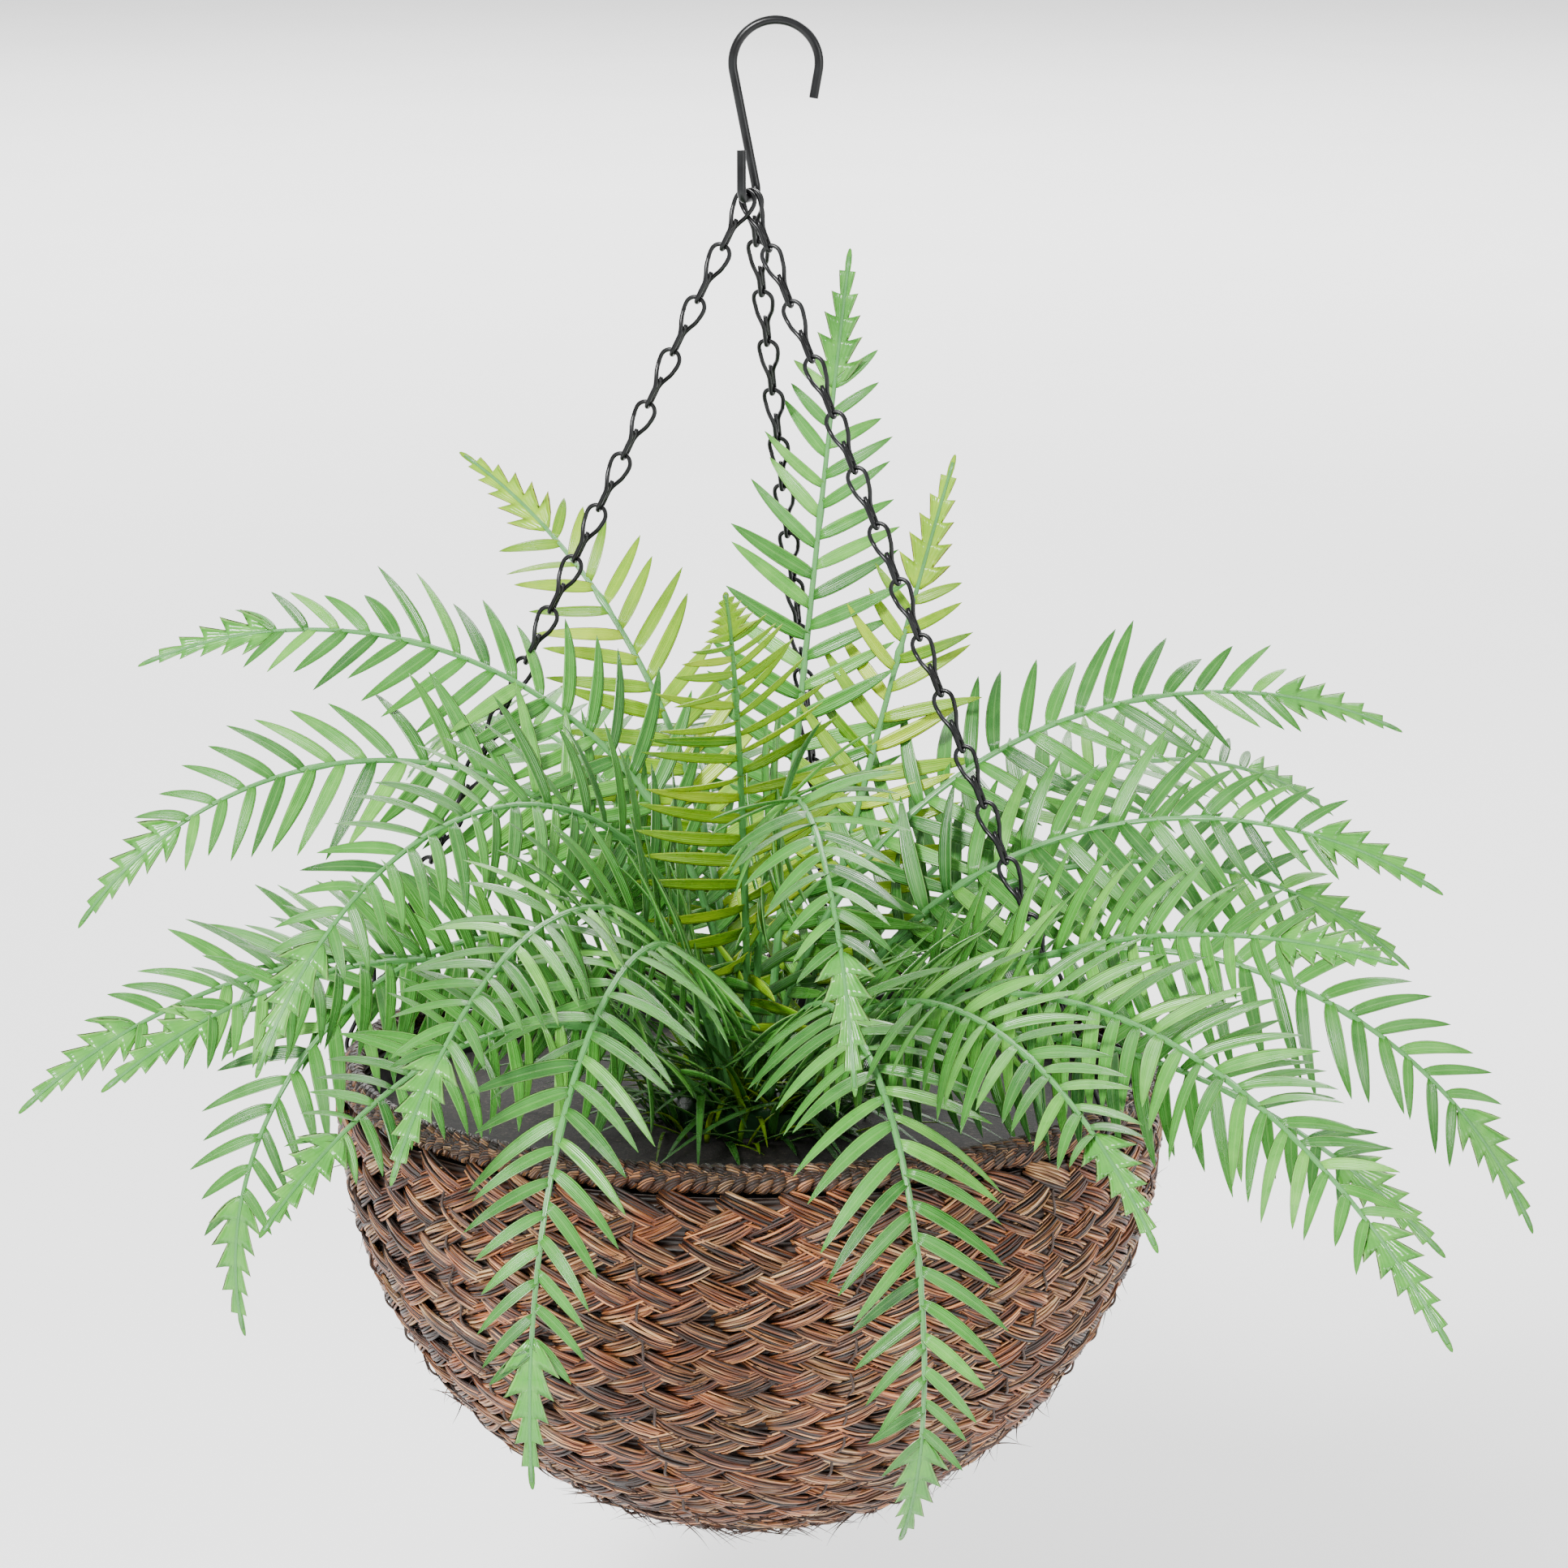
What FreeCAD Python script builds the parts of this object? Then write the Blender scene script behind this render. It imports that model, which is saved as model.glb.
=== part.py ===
import FreeCAD, Part
import math, os
from FreeCAD import Vector

# Hanging basket: a bowl of sewn rush plait on a wire frame, hung on three link chains from a
# steel hook and planted with a moulded fern. Millimetres, +Z up, the onlooker on the -Y side.
# The origin is the inside top of the hook's crook, where the basket hangs on its bracket.

# ---- hook ---------------------------------------------------------------------------------
HOOK_WIRE = 3.2          # rod diameter
CROOK_R = 14.9           # centreline radius of the crook
CROOK_SWEEP = 201.0      # degrees of arc from the shank over the top to where the tip runs straight
TIP_RUN = 9.5            # straight end of the rod after the arc
SHANK_LEAN = 11.0        # degrees the shank leans back under the crook
SHANK_DROP = 45.5        # from the crook's centre down to the lower bend's centreline
BEND_AZ = 70.0           # direction of the lower bend's straight wire, degrees about +Z
BEND_WIDTH = 16.0        # between the centrelines of the lower bend's two legs
BEND_R = 3.6             # corner radius of the lower bend
LEG_RISE = 17.0          # the short leg stands this high above the bend

# ---- chains -------------------------------------------------------------------------------
LINK_WIRE = 1.6          # link wire diameter
LINK_PITCH = 20.6        # from one link's bearing to the next
LOOP_R = 3.5             # centreline radius of a link's two eyes
LINKS_PER_CHAIN = 15
LINKS_PER_GROUP = 5      # links between two modelled pivots
WAIST_R = 4.0            # bend radius where a link's wire crosses its waist
END_GAP = 2.1            # a link's cut ends stop this far from the waist
BEARING = 0.12           # clearance between two wires that bear on each other
HOOK_WRAP = 75.0         # degrees a rim hook curls round the rope, short of a right angle
ROPE_CLEAR = 0.45        # clearance between rim hook and rope
# name, direction of its rim hook about +Z, place of its top link along the lower bend
CHAINS = [("left", 170.0, -3.4), ("right", -34.5, -0.7), ("back", 78.0, 2.5)]

# ---- bowl ---------------------------------------------------------------------------------
HUB_TO_RIM = 307.0       # from the lower bend's centreline down to the rim plane
RIM_R = 149.8            # outside radius of the top plait row
BOWL_DEPTH = 172.0       # rim plane to the underside
PLAIT_T = 9.0            # plait thickness
PLAIT_W = 14.7           # plait width, one sewn row
ROW_GAP = 0.3            # between two rows where the thread holds them
ROWS = 9                 # rows with a node of their own; the coil below them is the base
CORNER_R = 3.9           # rounding of the plait's edges
ROPE_R = 4.7             # whipped rope on the rim
ROPE_SET_IN = 6.8        # rope centreline inside the rim radius
ROPE_DROP = 3.0          # rope centreline below the rim plane
TOP_ROW_DROP = 9.4       # top edge of the first row below the rim plane

FRAME_WIRE = 3.0         # hoops and ribs
RIBS = 8
FRAME_CLEAR = 0.4        # between frame wires, plait and liner
LINER_T = 0.8
THREAD = 0.9             # sewing thread
SEAMS = 12               # lines of stitches down the bowl
STITCH = 7.0             # one stitch, across the joint between two rows
STITCH_CLEAR = 0.15
SEAM_END = 1.2           # the seams stop at this wall parameter, above the flat base

# ---- planting -----------------------------------------------------------------------------
FOAM_TOP_DROP = 22.0     # foam surface below the rim plane
FOAM_T = 34.0
FOAM_CLEAR = 0.5
CROWN_R = 31.0           # moulded crown the fronds plug into
CROWN_TOP_DROP = 9.5
CROWN_RISE = 4.5         # height of the crown's dome
CROWN_SPIGOT_R = 9.0
CROWN_SPIGOT = 22.0
SPIGOT_CLEAR = 0.15
SEAT = 0.3               # crown above the foam, and a stalk's cut end above the crown
STALK_R = 1.7            # frond stalk radius at the crown
STALK = 20.0             # straight length before a frond starts to bend
BLADE_W = 11.0           # width of a frond's solid blade
BLADE_T = 1.8
# low grass blades round the crown: direction of each, in the gaps between fronds
BLADE_AZ = [-29.0, 3.0, 28.0, 45.0, 68.0, 84.0, 109.0, 130.0, 157.0, 170.0, 262.0, 292.5]
# Each frond: direction about +Z, lift of the stalk above level, length, total bend, ring radius
FRONDS = [
    (-54.5, 40.0, 385.0, 84.0, 21.5), (-40.5, 30.0, 297.0, 66.0, 18.0),
    (-46.5, 41.0, 299.0, 44.0, 26.0), (-12.5, 65.0, 278.0, 97.0, 18.0),
    (-18.5, 48.0, 315.0, 115.0, 25.5), (-3.0, 59.0, 265.0, 103.0, 12.0),
    (8.5, 74.5, 304.0, 101.0, 4.5), (23.0, 75.5, 232.0, 3.0, 15.5),
    (36.0, 58.0, 300.0, 95.0, 21.0), (54.0, 81.5, 298.0, 3.0, 9.0),
    (98.0, 56.0, 290.0, 90.0, 21.0), (120.0, 62.0, 310.0, 105.0, 21.0),
    (139.5, 90.0, 268.0, 68.0, 10.0), (182.5, 90.0, 311.0, 114.0, 9.0),
    (197.0, 83.0, 315.0, 138.0, 16.0), (210.5, 45.0, 286.0, 82.0, 23.0),
    (216.0, 62.0, 310.0, 166.0, 15.5), (225.0, 45.0, 294.0, 71.0, 23.5),
    (233.0, 80.0, 339.0, 141.0, 15.0), (240.0, 38.0, 297.0, 70.0, 26.0),
    (247.5, 62.0, 325.0, 113.0, 20.0), (255.0, 63.0, 367.0, 164.0, 24.0),
    (268.0, 74.0, 288.0, 50.0, 17.5), (278.0, 84.0, 338.0, 147.0, 9.0),
    (286.0, 54.0, 335.0, 187.0, 21.5), (296.0, 44.0, 299.0, 85.0, 23.0)]

# ---- heights in the row frame, from the values above --------------------------------------
CROOK_Z = -(CROOK_R - HOOK_WIRE / 2)
HUB_Z = CROOK_Z - SHANK_DROP
RIM_Z = HUB_Z - HUB_TO_RIM
ROPE_CENTRE_R = RIM_R - ROPE_SET_IN
ROPE_Z = RIM_Z - ROPE_DROP
WALL_A = RIM_R - PLAIT_T / 2                      # half-ellipse down the middle of the wall
WALL_Z = RIM_Z - TOP_ROW_DROP
WALL_B = BOWL_DEPTH - TOP_ROW_DROP - PLAIT_T / 2
FOAM_Z = RIM_Z - FOAM_TOP_DROP
CROWN_Z = RIM_Z - CROWN_TOP_DROP
HUB_X = 0.0
UP = Vector(0, 0, 1)


def around(az, r=1.0, z=0.0):
    """Point at radius r, height z and direction az degrees about +Z."""
    a = math.radians(az)
    return Vector(r * math.cos(a), r * math.sin(a), z)


def unit(v):
    return Vector(v).normalize()


def line(a, b):
    return Part.LineSegment(a, b).toShape()


def arc(centre, start, axis, degrees):
    """Circular arc that starts at a point and turns about an axis through its centre."""
    turn = FreeCAD.Rotation(axis, degrees)
    half = FreeCAD.Rotation(axis, degrees / 2)
    r = start - centre
    return Part.Arc(start, centre + half.multVec(r), centre + turn.multVec(r)).toShape()


def fillet(a, corner, b, r):
    """Ends and arc of a round corner of radius r between corner-a and corner-b."""
    u, v = unit(a - corner), unit(b - corner)
    angle = math.acos(max(-1.0, min(1.0, u.dot(v))))
    back = r / math.tan(angle / 2)
    centre = corner + unit(u + v) * (r / math.sin(angle / 2))
    p, q = corner + u * back, corner + v * back
    middle = centre - unit(u + v) * r
    return p, Part.Arc(p, middle, q).toShape(), q


def rod(edges, diameter):
    """Round wire along joined edges, with a flat cut at each end."""
    wire = Part.Wire(edges)
    first = edges[0]
    start = first.valueAt(first.FirstParameter)
    section = Part.Wire(Part.makeCircle(diameter / 2, start, first.tangentAt(first.FirstParameter)))
    solid = wire.makePipeShell([section], True, False)
    if solid.Volume < 0:
        solid.reverse()
    return solid


# ---- hook ---------------------------------------------------------------------------------

def hook():
    """Crook over the top, a slanted shank, a square lower bend and a short leg back up."""
    lean = math.radians(SHANK_LEAN)
    down = Vector(math.sin(lean), 0, -math.cos(lean))
    off = Vector(-math.cos(lean), 0, -math.sin(lean)) * CROOK_R
    u = around(BEND_AZ)
    shank_foot = Vector(HUB_X, 0, HUB_Z) + u * (BEND_WIDTH / 2)
    # the crook's centre sits where its tangent runs straight down the shank to that foot
    top = CROOK_Z + off.z
    run = (top - HUB_Z) / math.cos(lean)
    centre = Vector(shank_foot.x - down.x * run - off.x, shank_foot.y, CROOK_Z)
    leave = centre + off
    leg_foot = shank_foot - u * BEND_WIDTH
    leg_top = leg_foot + UP * LEG_RISE
    start = centre + FreeCAD.Rotation(Vector(0, 1, 0), CROOK_SWEEP).multVec(off)
    crook = arc(centre, start, Vector(0, 1, 0), -CROOK_SWEEP)
    tip = start + unit(Vector(0, 1, 0).cross(start - centre)) * TIP_RUN
    p1, bend1, q1 = fillet(leave, shank_foot, leg_foot, BEND_R)
    p2, bend2, q2 = fillet(shank_foot, leg_foot, leg_top, BEND_R)
    solid = rod([line(tip, start), crook, line(leave, p1), bend1, line(q1, p2), bend2, line(q2, leg_top)], HOOK_WIRE)
    # the crown is over the origin, so the whole hook moves sideways with the bowl beneath it
    return solid, centre


# ---- chains -------------------------------------------------------------------------------

def eye(centre, toward, side, closed_side, wire_end):
    """Tear-shaped eye: tangent from the waist, round the far end, and back short of the waist.
    toward points from the waist to the eye; side is in the eye's plane."""
    reach = LINK_LENGTH / 2 - LOOP_R
    half = math.asin(LOOP_R / reach)
    along = math.sqrt(reach ** 2 - LOOP_R ** 2)
    ray = lambda s: toward * math.cos(half) + side * (s * math.sin(half))
    hub = centre + toward * reach
    t1, t2 = centre + ray(closed_side) * along, centre + ray(-closed_side) * along
    far = hub + toward * LOOP_R
    end = centre + ray(-closed_side) * wire_end
    return t1, Part.Arc(t1, far, t2).toShape(), line(t2, end), ray(closed_side)


LINK_LENGTH = LINK_PITCH + LINK_WIRE + BEARING    # between the centres of its two end wires


def link(top, d, n):
    """One link: two eyes a quarter turn apart, of one wire whose cut ends meet the waist.
    top is the centre of its upper end wire, d points down the chain, n is square to the
    upper eye's plane."""
    m = d.cross(n)
    waist = top + d * (LINK_LENGTH / 2)
    t_up, arc_up, end_up, ray_up = eye(waist, d * -1, m, -1, END_GAP)
    t_lo, arc_lo, end_lo, ray_lo = eye(waist, d, n, 1, END_GAP)
    p, bend, q = fillet(t_up, waist, t_lo, WAIST_R)
    edges = [end_up, arc_up, line(t_up, p), bend, line(q, t_lo), arc_lo, end_lo]
    path = Part.Wire(Part.__sortEdges__(edges))
    return rod(path.OrderedEdges, LINK_WIRE)


def rim_hook(top, d, n, rope, out):
    """Eye on the last link, a straight shank down the outside of the rope, and a curl that
    tucks under it. rope is the rope's centre, out points away from it square to the shank."""
    m = d.cross(n)
    waist = top + d * (LINK_LENGTH / 2)
    t_up, arc_up, end_up, _ = eye(waist, d * -1, m, -1, END_GAP)
    reach = ROPE_R + LINK_WIRE / 2 + ROPE_CLEAR
    touch = rope + out * reach
    p, bend, q = fillet(t_up, waist, touch, WAIST_R)
    axis = out.cross(d)
    curl = arc(rope, touch, axis, HOOK_WRAP)
    edges = [end_up, arc_up, line(t_up, p), bend, line(q, touch), curl]
    path = Part.Wire(Part.__sortEdges__(edges))
    return rod(path.OrderedEdges, LINK_WIRE)


def chain_frame(az, along_bend, hub):
    """Start, direction and plane of a chain that runs from the lower bend to the rope."""
    u = around(BEND_AZ)
    pin = hub + u * along_bend
    rope = Vector(hub.x, hub.y, 0) + around(az, ROPE_CENTRE_R, ROPE_Z)
    w = rope - pin
    straight = unit(w)
    level = unit(Vector(w.x, w.y, 0))
    over = unit(level - straight * level.dot(straight))
    reach = ROPE_R + LINK_WIRE / 2 + ROPE_CLEAR
    tilt = math.asin(reach / w.Length)
    d = straight * math.cos(tilt) + over * math.sin(tilt)
    out = over * math.cos(tilt) - straight * math.sin(tilt)
    n = unit(u - d * u.dot(d))
    # a link that leans along the bend's wire needs more height to clear it
    bear = (HOOK_WIRE / 2 + LINK_WIRE / 2 + BEARING) / d.cross(u).Length
    top = pin - d * bear
    return top, d, n, rope, out


# ---- bowl ---------------------------------------------------------------------------------

def wall_point(t, inset=0.0):
    """Point and inward normal (radius, height) of the wall's middle line at parameter t from
    0 at the rim to a quarter turn at the pole, moved inwards by inset."""
    r, z = WALL_A * math.cos(t), -WALL_B * math.sin(t)
    nr, nz = -math.cos(t) / WALL_A, math.sin(t) / WALL_B
    size = math.hypot(nr, nz)
    return r + nr / size * inset, WALL_Z + z + nz / size * inset, nr / size, nz / size


def wall_angle(z, inset):
    """Wall parameter at which the curve moved inwards by inset is at height z."""
    low, high = 0.0, math.pi / 2
    for _ in range(50):
        mid = (low + high) / 2
        low, high = (mid, high) if wall_point(mid, inset)[1] > z else (low, mid)
    return low


def wall_stations():
    """Wall parameters one plait width apart along the middle line, rim to pole."""
    steps, stations, t, gone, want = 4000, [], 0.0, 0.0, (PLAIT_W + ROW_GAP) / 2
    pitch = PLAIT_W + ROW_GAP
    for i in range(steps):
        t = (i + 0.5) / steps * math.pi / 2
        gone += math.hypot(WALL_A * math.sin(t), WALL_B * math.cos(t)) * math.pi / 2 / steps
        if gone >= want:
            stations.append(t)
            want += pitch
    return stations


def turned(face):
    return face.revolve(Vector(0, 0, 0), UP, 360)


def plait_ring(t):
    """One sewn row: a rounded band turned about the bowl's axis, square to the wall."""
    r, z, nr, nz = wall_point(t)
    inward, down = Vector(nr, 0, nz), Vector(nz, 0, -nr)
    if down.z > 0:
        down = down * -1
    mid = Vector(r, 0, z)
    half_w, half_t = PLAIT_W / 2, PLAIT_T / 2
    corners = [mid + down * (a * half_w) + inward * (b * half_t)
               for a, b in ((-1, -1), (1, -1), (1, 1), (-1, 1))]
    edges, ends = [], []
    for i in range(4):
        p, bend, q = fillet(corners[i - 1], corners[i], corners[(i + 1) % 4], CORNER_R)
        ends.append((p, q))
        edges.append(bend)
    lines = [line(ends[i][1], ends[(i + 1) % 4][0]) for i in range(4)]
    loop = Part.Wire(Part.__sortEdges__(edges + lines))
    return turned(Part.Face(loop))


def meridian(inset, t0, t1, az=0.0):
    """Curve down the wall at a direction, a given distance inside its middle line."""
    count = 24
    points = []
    for i in range(count + 1):
        r, z, _, _ = wall_point(t0 + (t1 - t0) * i / count, inset)
        points.append(around(az, r, z))
    curve = Part.BSplineCurve()
    curve.interpolate(points)
    return curve.toShape()


def hoop(radius, z, wire):
    return Part.makeTorus(radius, wire / 2, Vector(0, 0, z), UP)


# ---- planting -----------------------------------------------------------------------------

def frond_path(az, lift, length, bend, ring):
    """Function of distance along a frond: point, direction, and the level side vector."""
    rise = math.radians(lift)
    level = around(az)
    start = around(az, ring, CROWN_Z - (ring / CROWN_R) ** 2 * CROWN_RISE)
    t0 = level * math.cos(rise) + UP * math.sin(rise)
    b0 = level * math.sin(rise) - UP * math.cos(rise)
    radius = (length - STALK) / math.radians(bend)
    side = unit(t0.cross(b0))

    def at(s):
        if s <= STALK:
            return start + t0 * s, t0, side
        a = (s - STALK) / radius
        p = start + t0 * (STALK + radius * math.sin(a)) + b0 * (radius * (1 - math.cos(a)))
        return p, t0 * math.cos(a) + b0 * math.sin(a), side
    return at


def lens(point, along, side, width, thick):
    """Six-sided section, flat across a frond."""
    up = side.cross(along)
    ring = [(-1, 0), (-0.5, 1), (0.5, 1), (1, 0), (0.5, -1), (-0.5, -1)]
    return [point + side * (a * width / 2) + up * (b * thick / 2) for a, b in ring]


def skinned(sections):
    """Closed solid through sections of equal point count: a smooth curve along each corner,
    a ruled face between neighbouring curves, and a flat face at each end."""
    rails = []
    for corner in zip(*sections):
        curve = Part.BSplineCurve()
        curve.interpolate(list(corner))
        rails.append(curve.toShape())
    faces = [Part.makeRuledSurface(a, b) for a, b in zip(rails, rails[1:] + rails[:1])]
    faces += [Part.Face(Part.makePolygon(end + end[:1])) for end in (sections[0], sections[-1])]
    shell = Part.Shell(faces)
    shell.sewShape()
    solid = Part.Solid(shell)
    return solid if solid.Volume > 0 else Part.Solid(shell.reversed())


# share of length, share of the full width, share of the full thickness
FROND_PLAN = [(0.0, 0, 0), (0.12, 0, 0), (0.3, 0.45, 0.3), (0.42, 1.0, 1.0), (0.55, 1.0, 1.0),
              (0.7, 0.95, 1.0), (0.84, 0.9, 0.9), (0.94, 0.55, 0.7), (1.0, 0.12, 0.5)]


def frond(az, lift, length, bend, ring):
    """Solid stand-in for one frond: round stalk, then a narrow flat blade to a point."""
    at = frond_path(az, lift, length, bend, ring)
    stalk = 2 * STALK_R
    sections = []
    first, t0, side = at(0)
    # the low edge of the slanted cut clears the crown, whose dome falls away outwards
    clear = STALK_R * math.cos(math.radians(lift)) + SEAT + 0.2
    sections.append(lens(first + t0 * clear, t0, side, stalk, stalk * 0.87))
    for share, w, t in FROND_PLAN[1:]:
        p, along, side = at(share * length)
        width = stalk + (BLADE_W - stalk) * w if share < 0.5 else BLADE_W * w
        thick = stalk * 0.87 + (BLADE_T - stalk * 0.87) * t if share < 0.5 else BLADE_T * t
        sections.append(lens(p, along, side, width, thick))
    return skinned(sections)


def crown():
    """Domed crown on a spigot, which every frond stands on."""
    base = FOAM_Z + SEAT
    edge_z = CROWN_Z - CROWN_RISE
    foot_z = base - CROWN_SPIGOT
    # a spherical cap, so its centre is on the axis
    ball = (CROWN_R ** 2 + CROWN_RISE ** 2) / (2 * CROWN_RISE)
    half = math.asin(CROWN_R / ball) / 2
    middle = Vector(ball * math.sin(half), 0, CROWN_Z - ball * (1 - math.cos(half)))
    dome = Part.Arc(Vector(CROWN_R, 0, edge_z), middle, Vector(0, 0, CROWN_Z)).toShape()
    corners = [Vector(0, 0, CROWN_Z), Vector(0, 0, foot_z), Vector(CROWN_SPIGOT_R, 0, foot_z),
               Vector(CROWN_SPIGOT_R, 0, base), Vector(CROWN_R, 0, base),
               Vector(CROWN_R, 0, edge_z)]
    sides = [line(a, b) for a, b in zip(corners, corners[1:])]
    return turned(Part.Face(Part.Wire(sides + [dome])))


def foam():
    """Foam block that fills the bowl's mouth, wedged inside the liner, bored for the crown."""
    inset = PLAIT_T / 2 + FRAME_WIRE + 2 * FRAME_CLEAR + LINER_T + FOAM_CLEAR
    low = FOAM_Z - FOAM_T
    side = meridian(inset, wall_angle(FOAM_Z, inset), wall_angle(low, inset))
    top_edge, low_edge = (v.Point for v in side.Vertexes)
    outline = Part.Wire([line(Vector(0, 0, low_edge.z), low_edge), side,
                         line(top_edge, Vector(0, 0, top_edge.z)),
                         line(Vector(0, 0, top_edge.z), Vector(0, 0, low_edge.z))])
    block = turned(Part.Face(outline))
    bore = Part.makeCylinder(CROWN_SPIGOT_R + SPIGOT_CLEAR, CROWN_SPIGOT + 10,
                             Vector(0, 0, FOAM_Z - CROWN_SPIGOT))
    return block.cut(bore)


def liner():
    """Thin film cup between the frame and the foam."""
    outer = PLAIT_T / 2 + FRAME_WIRE + 2 * FRAME_CLEAR
    a = meridian(outer, 0.0, math.pi / 2)
    b = meridian(outer + LINER_T, 0.0, math.pi / 2)
    pa, pb = a.Vertexes, b.Vertexes
    outline = Part.Wire(Part.__sortEdges__(
        [a, b, line(pa[0].Point, pb[0].Point), line(pa[-1].Point, pb[-1].Point)]))
    return turned(Part.Face(outline))


def grass():
    """Short pointed blades that stand round the crown, each a separate piece."""
    blades = []
    for i, az in enumerate(BLADE_AZ):
        foot = around(az, CROWN_R + 4 + 3 * (i % 2), FOAM_Z + 0.8)
        lean = math.radians(8 + 6 * (i % 3))
        tall = 24 + 5 * (i % 4)
        blades.append(Part.makeCone(1.3, 0.4, tall, foot, around(az, math.sin(lean), math.cos(lean))))
    return Part.makeCompound(blades)


# ---- build --------------------------------------------------------------------------------

os.makedirs("parts", exist_ok=True)


def save(name, shape, shift):
    shape = shape.copy()
    shape.translate(shift)
    shape.exportStep("parts/" + name + ".step")


rod_hook, crook_centre = hook()
to_origin = Vector(-crook_centre.x, -crook_centre.y, 0)
save("hook", rod_hook, to_origin)

hub = Vector(HUB_X, 0, HUB_Z)
for name, az, along_bend in CHAINS:
    top, d, n, rope, out = chain_frame(az, along_bend, hub)
    for g, part in enumerate(("upper", "middle", "lower")):
        links = [link(top + d * (LINK_PITCH * (g * LINKS_PER_GROUP + k)), d, n)
                 for k in range(LINKS_PER_GROUP)]
        save("chain_" + name + "_" + part, Part.makeCompound(links), to_origin)
    last = top + d * (LINK_PITCH * LINKS_PER_CHAIN)
    save("rim_hook_" + name, rim_hook(last, d, n, rope, out), to_origin)

save("rim_rope", hoop(ROPE_CENTRE_R, ROPE_Z, 2 * ROPE_R), to_origin)
stations = wall_stations()
for i, t in enumerate(stations[:ROWS]):
    save("plait_row_%02d" % (i + 1), plait_ring(t), to_origin)
coil = [plait_ring(t) for t in stations[ROWS:] if wall_point(t)[0] > PLAIT_W * 0.9]
pole_r, pole_z, _, _ = wall_point(math.pi / 2)
inner = min(wall_point(t)[0] for t in stations[ROWS:] if wall_point(t)[0] > PLAIT_W * 0.9)
button = Part.makeCylinder(inner - PLAIT_W / 2 - ROW_GAP, PLAIT_T,
                           Vector(0, 0, pole_z - PLAIT_T / 2))
coil.append(button.makeFillet(CORNER_R * 0.8, [e for e in button.Edges
                                               if isinstance(e.Curve, Part.Circle)]))
save("base_coil", Part.makeCompound(coil), to_origin)

frame_inset = PLAIT_T / 2 + FRAME_CLEAR + FRAME_WIRE / 2
hoops = {"rim_hoop": 0.035, "middle_hoop": 0.62, "base_hoop": 1.2}
spots = {}
for name, t in hoops.items():
    r, z, nr, nz = wall_point(t, frame_inset)
    spots[name] = (r, z)
    save(name, hoop(r, z, FRAME_WIRE), to_origin)
ribs = []
for i in range(RIBS):
    for a, b in (("rim_hoop", "middle_hoop"), ("middle_hoop", "base_hoop")):
        t0, t1 = hoops[a], hoops[b]
        gap = (FRAME_WIRE + FRAME_CLEAR) / WALL_B
        ribs.append(rod([meridian(frame_inset, t0 + gap, t1 - gap, (i + 0.5) * 360 / RIBS)],
                        FRAME_WIRE))
save("frame_ribs", Part.makeCompound(ribs), to_origin)

stitches = []
for upper, lower in zip(stations, stations[1:]):
    joint = (upper + lower) / 2
    r, z, nr, nz = wall_point(joint, -(PLAIT_T / 2 + THREAD / 2 + STITCH_CLEAR))
    if joint > SEAM_END:
        break
    for i in range(SEAMS):
        az = (i + 0.5) * 360 / SEAMS
        down = around(az, nz, -nr) * (-1 if nr > 0 else 1)
        stitches.append(Part.makeCylinder(THREAD / 2, STITCH,
                                          around(az, r, z) - down * (STITCH / 2), down))
save("sewing_thread", Part.makeCompound(stitches), to_origin)

save("liner", liner(), to_origin)
save("foam_base", foam(), to_origin)
save("fern_crown", crown(), to_origin)
save("grass_blades", grass(), to_origin)
for i, spec in enumerate(FRONDS):
    save("frond_%02d" % (i + 1), frond(*spec), to_origin)
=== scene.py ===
"""Hanging basket: the looks of the fern, the sewn plait bowl, its rope rim, foam, chains and hook.

Lengths are in metres. The bowl's wall and the fronds follow the same curves as the solids they
stand for, and their places are taken from the boxes of those solids.
"""
import math

import bpy
import numpy as np
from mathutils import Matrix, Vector


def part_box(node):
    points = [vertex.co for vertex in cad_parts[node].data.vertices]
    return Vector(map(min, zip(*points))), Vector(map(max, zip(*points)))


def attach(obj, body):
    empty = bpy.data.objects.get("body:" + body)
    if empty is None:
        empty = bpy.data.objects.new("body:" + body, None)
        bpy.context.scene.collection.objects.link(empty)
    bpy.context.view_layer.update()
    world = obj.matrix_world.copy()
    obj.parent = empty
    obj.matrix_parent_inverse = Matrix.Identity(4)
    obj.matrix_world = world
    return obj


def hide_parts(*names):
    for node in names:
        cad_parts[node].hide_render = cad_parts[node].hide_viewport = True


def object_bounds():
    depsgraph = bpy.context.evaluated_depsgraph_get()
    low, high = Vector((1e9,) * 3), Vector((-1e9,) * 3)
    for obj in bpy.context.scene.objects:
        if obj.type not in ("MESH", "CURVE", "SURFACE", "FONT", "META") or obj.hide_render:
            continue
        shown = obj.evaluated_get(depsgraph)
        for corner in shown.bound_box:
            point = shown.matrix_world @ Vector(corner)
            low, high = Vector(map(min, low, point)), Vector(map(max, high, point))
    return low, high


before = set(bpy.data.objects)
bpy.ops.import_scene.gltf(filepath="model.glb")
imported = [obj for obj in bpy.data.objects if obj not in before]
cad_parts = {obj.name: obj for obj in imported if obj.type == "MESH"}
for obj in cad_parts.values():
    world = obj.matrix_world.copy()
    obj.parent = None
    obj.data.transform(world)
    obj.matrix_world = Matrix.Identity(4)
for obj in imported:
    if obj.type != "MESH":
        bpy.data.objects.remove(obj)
cad_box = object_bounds()
rng = np.random.default_rng(7)     # shared by the threads, the loose ends and the grass
MM = 0.001
TAU = 2 * math.pi

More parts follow.
